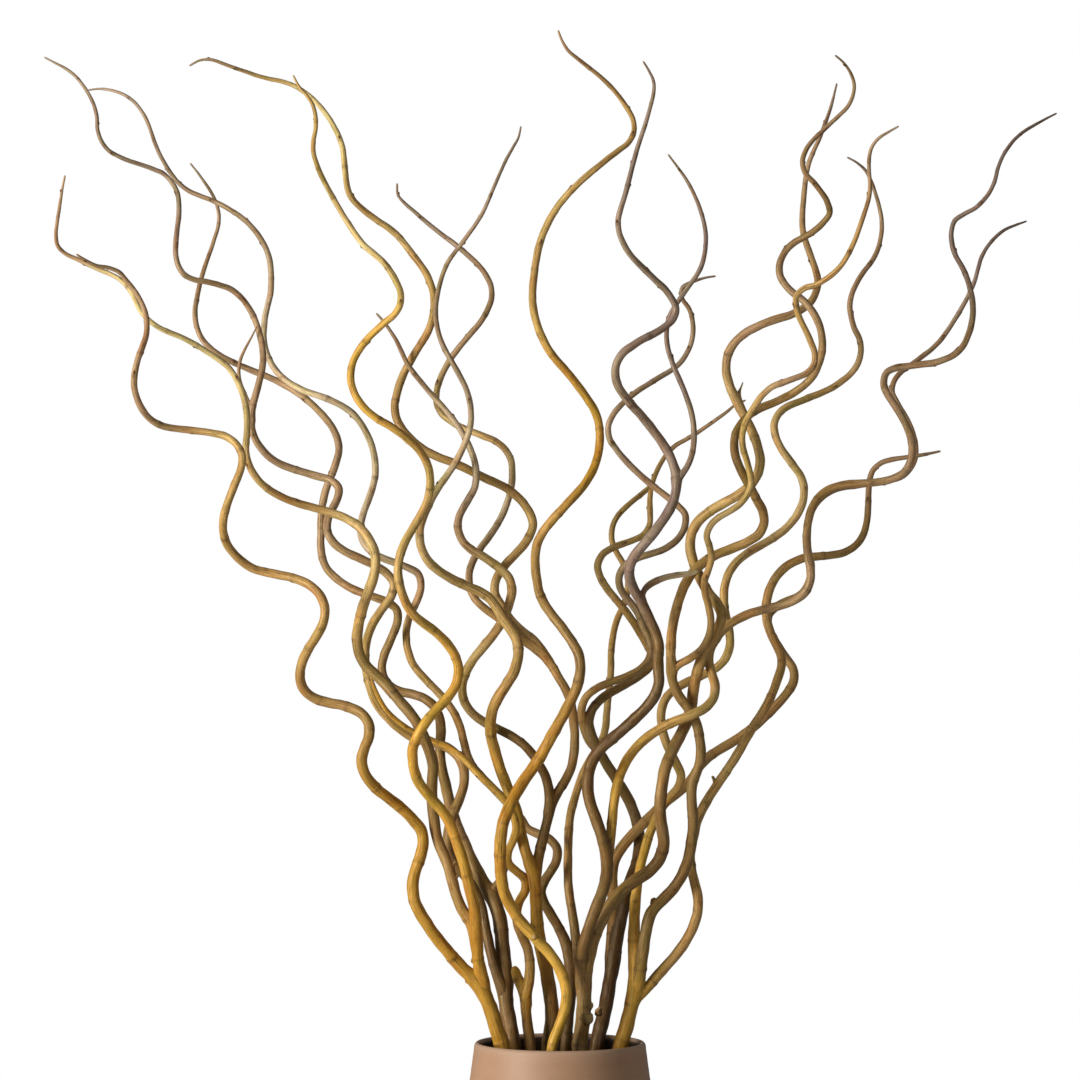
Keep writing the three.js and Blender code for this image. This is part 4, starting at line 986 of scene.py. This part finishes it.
def vase_outline(step):
    """The vase's outline as (radius, height), from the foot's edge up the outside, over the lip and down the
    inside: a smooth line through its widths, with faint throwing rings that fade out over 30 mm below the
    lip, and half an ellipse for the lip."""
    rim, lip_base, floor_top = LIP_RADIUS + 0.6, VASE_HEIGHT - WALL, 16
    widths = [(85, 5), (93, 42), (100, 90), (103.5, 140), (101.5, 185), (96.5, 225), (90.5, 262)]
    line = smooth_line(widths + [(rim, lip_base)])
    t, run = measure(line, divisions=400)
    radius, height = line(np.interp(np.linspace(0, run[-1], round(run[-1] / step) + 1), run, t)).T
    ripple = 0.16 * np.sin(height / 1.15) + 0.1 * np.sin(height / 2.7 + 1)
    ripple *= np.clip((lip_base - height) / 30, 0, 1)
    outside = np.stack([radius - np.abs(ripple), height], axis=-1)
    inside = np.stack([radius - WALL + ripple, height], axis=-1)[height > floor_top][::-1]
    turn = np.linspace(0, np.pi, 17)
    across = rim - WALL / 2 + WALL / 2 * np.cos(turn)
    lip = np.stack([across, lip_base + 1 + (WALL - 1) * np.sin(turn)], axis=-1)
    foot = [(40, 0), (70, 0), (78, 0), (80, 0.3), (82, 1.2), (83.6, 2.8)]
    floor = [(78, 13), (76, 10.5), (72, 9), (60, 9), (35, 9)]
    return np.concatenate([foot, outside, lip, inside[1:], floor])


def turn_outline(outline, sides):
    """The outline turned round z: x and y are the radius times the cosine and sine of each even angle."""
    angle = even_angles(sides)
    radius, height = outline[:, :1], outline[:, 1:]
    return np.stack([radius * np.cos(angle), radius * np.sin(angle), height + 0 * angle], axis=-1)


# ---- finishes ----


class Nodes:
    """Builds the nodes of a new material or world: add() makes one, linking sockets that it is given and
    setting numbers."""

    def __init__(self, owner):
        owner.use_nodes = True
        self.owner, self.tree = owner, owner.node_tree
        self.tree.nodes.clear()

    def add(self, kind, sockets=None, **settings):
        made = self.tree.nodes.new(kind)
        for key, value in settings.items():
            setattr(made, key, value)
        for key, value in (sockets or {}).items():
            if isinstance(value, bpy.types.NodeSocket):
                self.tree.links.new(value, made.inputs[key])
            else:
                made.inputs[key].default_value = value
        return made

    def attribute(self, name, output):
        return self.add("ShaderNodeAttribute", attribute_name=name).outputs[output]

    def place(self):
        """Object coordinates."""
        return self.add("ShaderNodeTexCoord").outputs["Object"]

    def stretched(self, place, scale):
        """The place times a scale along each of its axes."""
        made = self.add("ShaderNodeVectorMath", {0: place, 1: scale}, operation="MULTIPLY")
        return made.outputs["Vector"]

    def noise(self, place, scale, detail=3.0, roughness=0.55):
        sockets = {"Scale": 1.0, "Detail": detail, "Roughness": roughness}
        sockets["Vector"] = self.stretched(place, scale)
        return self.add("ShaderNodeTexNoise", sockets).outputs["Fac"]

    def specks(self, place, scale, size):
        """1 inside small round specks, one in each cell, and 0 outside."""
        cells = self.add("ShaderNodeTexVoronoi", {"Vector": self.stretched(place, scale), "Scale": 1.0})
        return self.ranged(cells.outputs["Distance"], size, size * 0.55, 0, 1)

    def ranged(self, value, low, high, to_low, to_high):
        """The value, moved from one range to another and kept inside it."""
        sockets = {"Value": value, "From Min": low, "From Max": high, "To Min": to_low, "To Max": to_high}
        return self.add("ShaderNodeMapRange", sockets).outputs["Result"]

    def maths(self, operation, a, b):
        return self.add("ShaderNodeMath", {0: a, 1: b}, operation=operation).outputs["Value"]

    def summed(self, *parts):
        """The sum of values, each times its share."""
        shares = [self.maths("MULTIPLY", value, share) for value, share in parts]
        return reduce(lambda a, b: self.maths("ADD", a, b), shares)

    def grey(self, value):
        return self.add("ShaderNodeCombineColor", {0: value, 1: value, 2: value}).outputs["Color"]

    def mixed(self, amount, a, b, blend="MIX"):
        """The colour a changed to b by an amount; the Mix node's sockets 0, 6 and 7 are those three."""
        made = self.add("ShaderNodeMix", {0: amount, 6: a, 7: b}, data_type="RGBA", blend_type=blend)
        return made.outputs[2]

    def layered(self, colour, layers):
        """The colour under layers from first to last, each an amount, a colour and how it blends."""
        for amount, tint, blend in layers:
            colour = self.mixed(amount, colour, (*tint, 1), blend)
        return colour

    def surface(self, colour, roughness, height, distance, **values):
        """The finished material: a Principled shader with these sockets and numbers, and a bump."""
        bump = self.add("ShaderNodeBump", {"Height": height, "Distance": distance, "Strength": 0.7})
        sockets = {"Base Color": colour, "Roughness": roughness, "Normal": bump.outputs["Normal"]}
        sockets |= {key.replace("_", " "): value for key, value in values.items()}
        shader = self.add("ShaderNodeBsdfPrincipled", sockets)
        self.add("ShaderNodeOutputMaterial", {"Surface": shader.outputs["BSDF"]})
        return self.owner


def bark_finish(name, look, film):
    """Willow bark: its tone streaked along the grain, rusty and olive patches, a thin grey film, weather
    stains, pale pores, fine cracks, dark scars, and a satin skin."""
    nodes = Nodes(bpy.data.materials.new(name))
    grain = nodes.attribute("grain", "Vector")
    scar = nodes.attribute("scar", "Fac")
    streaks = nodes.noise(grain, (620, 620, 42), 4)
    fine = nodes.noise(grain, (1900, 1900, 260), 2)
    cracks = nodes.ranged(nodes.noise(grain, (900, 900, 34), 3, 0.6), 0.41, 0.35, 0, 1)
    patches = nodes.noise(grain, (105, 105, 34), 3)
    pores = nodes.specks(grain, (420, 420, 230), 0.16)
    mottle = nodes.noise(grain, (58, 58, 21), 3, 0.6)
    stains = nodes.noise(grain, (150, 150, 62), 4, 0.7)
    tone = nodes.ranged(streaks, 0.3, 0.7, 1 - look.streaks, 1 + look.streaks * 0.7)
    shade = nodes.maths("MULTIPLY", tone, nodes.ranged(fine, 0.25, 0.75, 0.88, 1.1))
    bare = nodes.mixed(1.0, nodes.attribute("bark", "Color"), nodes.grey(shade), "MULTIPLY")
    layers = (
        (nodes.ranged(mottle, 0.5, 0.66, 0, look.mottle), look.rust, "MULTIPLY"),
        (nodes.ranged(mottle, 0.5, 0.36, 0, look.mottle), look.olive, "MULTIPLY"),
        (nodes.ranged(patches, 0.48, 0.72, 0, film), look.film, "MIX"),
        (nodes.ranged(stains, 0.58, 0.7, 0, look.stains), look.stain, "MULTIPLY"),
        (nodes.maths("MULTIPLY", pores, 0.22), look.pores, "MIX"),
        (nodes.maths("MULTIPLY", cracks, look.cracks), look.scar, "MIX"),
        (nodes.maths("MULTIPLY", scar, look.scars), look.scar, "MIX"),
    )
    rough = nodes.ranged(patches, 0.3, 0.7, look.roughness - 0.07, look.roughness + 0.1)
    height = nodes.summed((streaks, 0.9), (fine, 0.35), (pores, 0.3), (cracks, -0.5))
    return nodes.surface(
        nodes.layered(bare, layers), rough, height, 0.0007,
        Specular_IOR_Level=0.5, Specular_Tint=(1.0, 0.78, 0.5, 1),
    )


def stoneware_finish(look):
    """Matte stoneware: clay clouded with paler slip, paler round the lip, and darker inside, as the clay's
    own darker tone deepened with painted shade; it has iron specks and a grain of fine sand."""
    nodes = Nodes(bpy.data.materials.new("matte_stoneware"))
    place = nodes.place()
    clouds = nodes.noise(place, (14, 14, 22), 4, 0.6)
    bands = nodes.noise(place, (3, 3, 90), 3, 0.5)
    sand = nodes.noise(place, (1500, 1500, 1500), 2, 0.6)
    specks = nodes.specks(place, (330, 330, 330), 0.11)
    layers = (
        (nodes.ranged(clouds, 0.35, 0.68, 0, 0.45), look.slip, "MIX"),
        (nodes.ranged(bands, 0.4, 0.7, 0, 0.22), look.slip, "MIX"),
        (nodes.maths("MULTIPLY", nodes.attribute("lip", "Fac"), 0.6), look.lip, "MIX"),
        # The inside's colour is the clay's own darker tone deepened with painted shade.
        (nodes.attribute("inside", "Fac"), look.inside, "MIX"),
        (nodes.maths("MULTIPLY", specks, look.specks), look.iron, "MIX"),
    )
    colour = nodes.layered((*look.clay, 1), layers)
    rough = nodes.ranged(clouds, 0.3, 0.7, look.roughness - 0.05, look.roughness + 0.07)
    height = nodes.summed((sand, 0.5), (clouds, 0.6))
    return nodes.surface(colour, rough, height, 0.0003, Specular_IOR_Level=0.38)


def plain_finish(name, colour, roughness):
    """One even colour, very faintly clouded."""
    nodes = Nodes(bpy.data.materials.new(name))
    cloud = nodes.ranged(nodes.noise(nodes.place(), (2, 2, 2), 2), 0.3, 0.7, 0.985, 1.0)
    tint = nodes.mixed(1.0, (*colour, 1), nodes.grey(cloud), "MULTIPLY")
    return nodes.surface(tint, roughness, cloud, 0.0001, Specular_IOR_Level=0.2)


# ---- what a user can change ----


def length_setting(name, description, default, low, high):
    """A length in metres, and its least and most."""
    return FloatProperty(
        name=name, description=description, default=default, min=low, max=high,
        subtype="DISTANCE", unit="LENGTH",
    )


def colour_setting(name, description, default):
    """A colour given as sRGB from 0 to 255 and kept as linear."""
    linear = tuple(((c / 255 + 0.055) / 1.055) ** 2.4 if c > 10 else c / 255 / 12.92 for c in default)
    return FloatVectorProperty(
        name=name, description=description, default=linear, size=3, min=0, max=1, subtype="COLOR"
    )


def factor_setting(name, description, default):
    """A share from 0 to 1."""
    return FloatProperty(name=name, description=description, default=default, min=0, max=1, subtype="FACTOR")


class WILLOW_PG_stems(bpy.types.PropertyGroup):
    """Sizes of the stems' detail."""

    ring_step: length_setting("Ring step", "Spacing of the rings along a stem", 0.002, 0.001, 0.02)
    sides: IntProperty(name="Sides", description="Corners round a thick stem", default=24, min=8, max=48)
    node_gap: length_setting("Node gap", "Mean spacing of the leaf nodes", 0.034, 0.01, 0.2)
    bud_length: length_setting("Bud length", "Length of a bud on a twig 3.5 mm thick", 0.0046, 0.001, 0.02)


class WILLOW_PG_tones(bpy.types.PropertyGroup):
    """The bark's colours by name."""

    ochre: colour_setting("Ochre", "Dull grey-brown bark", (150, 126, 93))
    gold: colour_setting("Gold", "Brightest golden bark", (206, 160, 65))
    honey: colour_setting("Honey", "Warm golden bark", (192, 159, 95))
    straw: colour_setting("Straw", "Pale straw bark", (218, 198, 136))
    tan: colour_setting("Tan", "Light tan bark", (207, 177, 118))
    hazel: colour_setting("Hazel", "Middling golden-brown bark", (182, 144, 84))
    brown: colour_setting("Brown", "Brown bark", (156, 123, 72))
    umber: colour_setting("Umber", "Dark brown bark", (114, 85, 43))
    bog: colour_setting("Bog", "Very dark brown bark", (75, 49, 18))
    plum: colour_setting("Plum", "Purple-grey bark", (142, 121, 111))
    rose: colour_setting("Rose", "Pale grey-brown bark", (186, 164, 135))
    ash: colour_setting("Ash", "Grey-brown bark of thin stems", (172, 140, 106))
    amber: colour_setting("Amber", "Deep golden bark", (184, 137, 48))
    moss: colour_setting("Moss", "Olive brown bark", (135, 106, 59))
    fawn: colour_setting("Fawn", "Pale fawn bark", (205, 184, 146))
    smoke: colour_setting("Smoke", "Greyest bark, towards the tips", (160, 138, 116))
    bud: colour_setting("Bud", "Bud scales", (120, 82, 50))
    wood: colour_setting("Wood", "Torn or cut wood", (206, 170, 120))


class WILLOW_PG_bark(bpy.types.PropertyGroup):
    """How the bark is marked."""

    streaks: factor_setting("Streaks", "How far the streaks darken the tone", 0.27)
    cracks: factor_setting("Cracks", "How dark the fine cracks are", 0.6)
    stains: factor_setting("Stains", "How dark the weather stains are", 0.75)
    scars: factor_setting("Scars", "How dark the leaf scars are", 0.6)
    mottle: factor_setting("Mottle", "How strong the rusty and the olive patches are", 0.7)
    roughness: factor_setting("Roughness", "Roughness of clean bark", 0.42)
    rust: colour_setting("Rust", "What rusty patches are multiplied by", (240, 212, 184))
    olive: colour_setting("Olive", "What olive patches are multiplied by", (226, 232, 196))
    film: colour_setting("Film", "Grey film in patches", (168, 152, 130))
    pores: colour_setting("Pores", "Pale pores", (200, 176, 140))
    stain: colour_setting("Stain", "What weather stains are multiplied by", (196, 174, 150))
    scar: colour_setting("Scar", "Leaf scars and cracks", (58, 38, 24))


class WILLOW_PG_vase(bpy.types.PropertyGroup):
    """The vase's detail and clay."""

    sides: IntProperty(name="Sides", description="Steps round the vase", default=192, min=24, max=360)
    step: length_setting("Outline step", "Spacing of the rings up its wall", 0.002, 0.0005, 0.02)
    roughness: factor_setting("Roughness", "Roughness of the clay", 0.5)
    specks: factor_setting("Specks", "How strong the iron specks are", 0.35)
    clay: colour_setting("Clay", "Clay", (156, 120, 93))
    slip: colour_setting("Slip", "Paler slip", (166, 134, 108))
    # A paler colour mixed in round the lip.
    lip: colour_setting("Lip", "Rubbed lip", (172, 146, 124))
    # The inside's colour is the clay's own darker tone deepened with painted shade.
    inside: colour_setting("Inside", "Clay inside", (44, 30, 22))
    iron: colour_setting("Iron", "Iron specks", (84, 60, 44))


class WILLOW_PG_stage(bpy.types.PropertyGroup):
    """The floor, lights and camera."""

    floor_radius: length_setting("Floor radius", "Radius of the floor", 2.1, 0.5, 10)
    floor: colour_setting("Floor", "Floor", (240, 239, 237))
    sky: FloatProperty(name="Sky", description="Strength of the even light", default=0.2, min=0, max=5)
    key: FloatProperty(
        name="Key light", description="Power of the large light on the left", default=265, min=0, unit="POWER"
    )
    fill: FloatProperty(
        name="Front light", description="Power of the light by the camera", default=8, min=0, unit="POWER"
    )
    eye_height: length_setting("Eye height", "Height of the camera", 0.802, 0, 5)
    eye_distance: length_setting("Eye distance", "Distance of the camera", 4.6, 0.5, 20)
    lens: FloatProperty(name="Lens", description="Focal length", default=153.3, min=10, unit="CAMERA")


# ---- pieces ----


def bark_palette(tones):
    """The bark's colours by name, as linear red, green and blue."""
    return {name: tuple(getattr(tones, name)) for name in tones.__annotations__}


def stem_shapes(branch, sizes):
    """The branch's stems, shaped."""
    routes = eased_routes()
    return [
        StemShape(routes[stem.name], routes, number, sizes)
        for number, stem in enumerate(STEMS)
        if stem.branch == branch
    ]


def named(branch, kind):
    """The name of something of a branch's: left_golden_branch and "bark" make left_golden_bark."""
    return branch.replace("branch", kind)


# How much of each branch the grey film covers.
FILM = {
    "left_golden_branch": 0.05,
    "left_brown_branch": 0.14,
    "slender_branch": 0.1,
    "centre_branch": 0.1,
    "front_golden_branch": 0.04,
    "back_branch": 0.12,
    "big_brown_branch": 0.18,
    "dark_branch": 0.18,
    "right_golden_branch": 0.08,
}
BARK_LAYERS = {"bark": "FLOAT_COLOR", "grain": "FLOAT_VECTOR", "scar": "FLOAT"}


class WILLOW_OT_grow_branches(bpy.types.Operator):
    """Grow every branch with its forks, leaf nodes and snags"""

    bl_idname = "willow.grow_branches"
    bl_label = "Grow branches"

    def execute(self, context):
        scene = context.scene
        palette = bark_palette(scene.willow_tones)
        for branch in BRANCHES:
            skin = Skin(**BARK_LAYERS)
            for shape in stem_shapes(branch, scene.willow_stems):
                shape.add_to(skin, palette)
                for snag in SNAGS.get(shape.route.stem.name, ()):
                    snag_on(shape, skin, snag, palette)
            bark = named(branch, "bark")
            finish = bark_finish(bark, scene.willow_bark, FILM[branch])
            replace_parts(skin.make(named(branch, "stems"), finish), branch)
        return {"FINISHED"}


class WILLOW_OT_set_buds(bpy.types.Operator):
    """Set a bud at the leaf nodes of every branch's thinner stems"""

    bl_idname = "willow.set_buds"
    bl_label = "Set buds"

    def execute(self, context):
        scene = context.scene
        palette = bark_palette(scene.willow_tones)
        finish = bark_finish("bud_scales", scene.willow_bark, 0.05)
        for branch in BRANCHES:
            skin = Skin(**BARK_LAYERS)
            for shape in stem_shapes(branch, scene.willow_stems):
                buds_on(shape, skin, scene.willow_stems, palette)
            skin.make(named(branch, "buds"), finish)
        return {"FINISHED"}


class WILLOW_OT_turn_vase(bpy.types.Operator):
    """Turn the vase on its wheel"""

    bl_idname = "willow.turn_vase"
    bl_label = "Turn vase"

    def execute(self, context):
        look = context.scene.willow_vase
        outline = vase_outline(look.step / MM)
        top = int(np.argmax(outline[:, 1]))
        # The lip's paleness is a bell curve 5.5 mm wide; the dark inside, the clay's own darker tone deepened
        # with painted shade, starts 1.5 mm down and grows for 3.
        lip = np.exp(-((np.linalg.norm(outline - outline[top], axis=1) / 5.5) ** 2))
        inside = np.clip((outline[top, 1] - outline[:, 1] - 1.5) / 3, 0, 1) * (np.arange(len(outline)) > top)
        skin = Skin(lip="FLOAT", inside="FLOAT")
        every_side = np.ones((1, look.sides, 1))
        skin.add_tube(
            turn_outline(outline, look.sides),
            lip=lip[:, None, None] * every_side,
            inside=inside[:, None, None] * every_side,
        )
        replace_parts(skin.make("stoneware_vase", stoneware_finish(look)), "vase")
        return {"FINISHED"}


def area_light(name, power, size, place, aim, colour):
    """A square-cornered soft light, turned from its place towards its aim."""
    light = bpy.data.lights.new(name, "AREA")
    light.energy, light.shape, light.size, light.size_y, light.color = power, "RECTANGLE", *size, colour
    lamp = bpy.data.objects.new(name, light)
    lamp.location = place
    lamp.rotation_euler = (Vector(aim) - Vector(place)).to_track_quat("-Z", "Y").to_euler()
    bpy.context.scene.collection.objects.link(lamp)


class WILLOW_OT_dress_stage(bpy.types.Operator):
    """Lay the floor and set the lights and the camera"""

    bl_idname = "willow.dress_stage"
    bl_label = "Dress stage"

    def execute(self, context):
        scene, look = context.scene, context.scene.willow_stage
        self.lay_floor(look)
        self.light_room(scene, look)
        camera = bpy.data.objects.new("camera", bpy.data.cameras.new("camera"))
        camera.data.sensor_width, camera.data.lens = 36, look.lens
        camera.location = (FAN_CENTRE[0] * MM, -look.eye_distance, look.eye_height)
        camera.rotation_euler = (math.pi / 2, 0, 0)
        scene.collection.objects.link(camera)
        scene.camera = camera
        return {"FINISHED"}

    def lay_floor(self, look, sides=96):
        """A round floor, half a millimetre below the vase's foot."""
        mesh = bpy.data.meshes.new("floor")
        angle = even_angles(sides)
        ring = np.stack([np.cos(angle), np.sin(angle), 0 * angle], axis=-1) * look.floor_radius
        mesh.from_pydata((ring - [0, 0, 0.5 * MM]).tolist(), [], [list(range(sides))])
        mesh.materials.append(plain_finish("pale_floor", look.floor, 0.7))
        floor = bpy.data.objects.new("floor", mesh)
        bpy.context.scene.collection.objects.link(floor)

    def light_room(self, scene, look):
        """A large light on the left, a small one by the camera, and an even sky that looks white."""
        area_light("key_light", look.key, (1.7, 2.2), (-3.7, -2.6, 1.15), (0, 0, 0.75), (1.0, 0.96, 0.9))
        area_light("front_light", look.fill, (1.2, 1.2), (0.7, -4.4, 2.4), (0, 0, 0.7), (1.0, 0.98, 0.96))
        scene.world = bpy.data.worlds.new("pale_room")
        nodes = Nodes(scene.world)
        seen = nodes.add("ShaderNodeBackground", {"Color": (1, 1, 1, 1)})
        sky = nodes.add("ShaderNodeBackground", {"Color": (1.0, 0.985, 0.96, 1), "Strength": look.sky})
        ray = nodes.add("ShaderNodeLightPath").outputs["Is Camera Ray"]
        pick = nodes.add("ShaderNodeMixShader", {0: ray, 1: sky.outputs[0], 2: seen.outputs[0]})
        nodes.add("ShaderNodeOutputWorld", {"Surface": pick.outputs[0]})
        scene.view_settings.view_transform = "Standard"


class WILLOW_PT_panel(bpy.types.Panel):
    """The willow's tools and sizes"""

    bl_idname = "WILLOW_PT_panel"
    bl_label = "Willow in a vase"
    bl_space_type = "VIEW_3D"
    bl_region_type = "UI"
    bl_category = "Willow"

    def draw(self, context):
        for step in STEPS:
            self.layout.operator(step.bl_idname)
        for key in SETTINGS:
            group = getattr(context.scene, key)
            box = self.layout.box()
            for name in group.__annotations__:
                box.prop(group, name)


SETTINGS = {
    "willow_stems": WILLOW_PG_stems,
    "willow_tones": WILLOW_PG_tones,
    "willow_bark": WILLOW_PG_bark,
    "willow_vase": WILLOW_PG_vase,
    "willow_stage": WILLOW_PG_stage,
}
STEPS = (WILLOW_OT_dress_stage, WILLOW_OT_turn_vase, WILLOW_OT_grow_branches, WILLOW_OT_set_buds)


def register():
    for group in SETTINGS.values():
        bpy.utils.register_class(group)
    for key, group in SETTINGS.items():
        setattr(bpy.types.Scene, key, PointerProperty(type=group))
    for shown in (*STEPS, WILLOW_PT_panel):
        bpy.utils.register_class(shown)


def unregister():
    for shown in (WILLOW_PT_panel, *reversed(STEPS)):
        bpy.utils.unregister_class(shown)
    for key, group in SETTINGS.items():
        delattr(bpy.types.Scene, key)
        bpy.utils.unregister_class(group)


def main():
    register()
    bpy.ops.willow.dress_stage()
    bpy.ops.willow.turn_vase()
    bpy.ops.willow.grow_branches()
    bpy.ops.willow.set_buds()


if __name__ == "__main__":
    main()
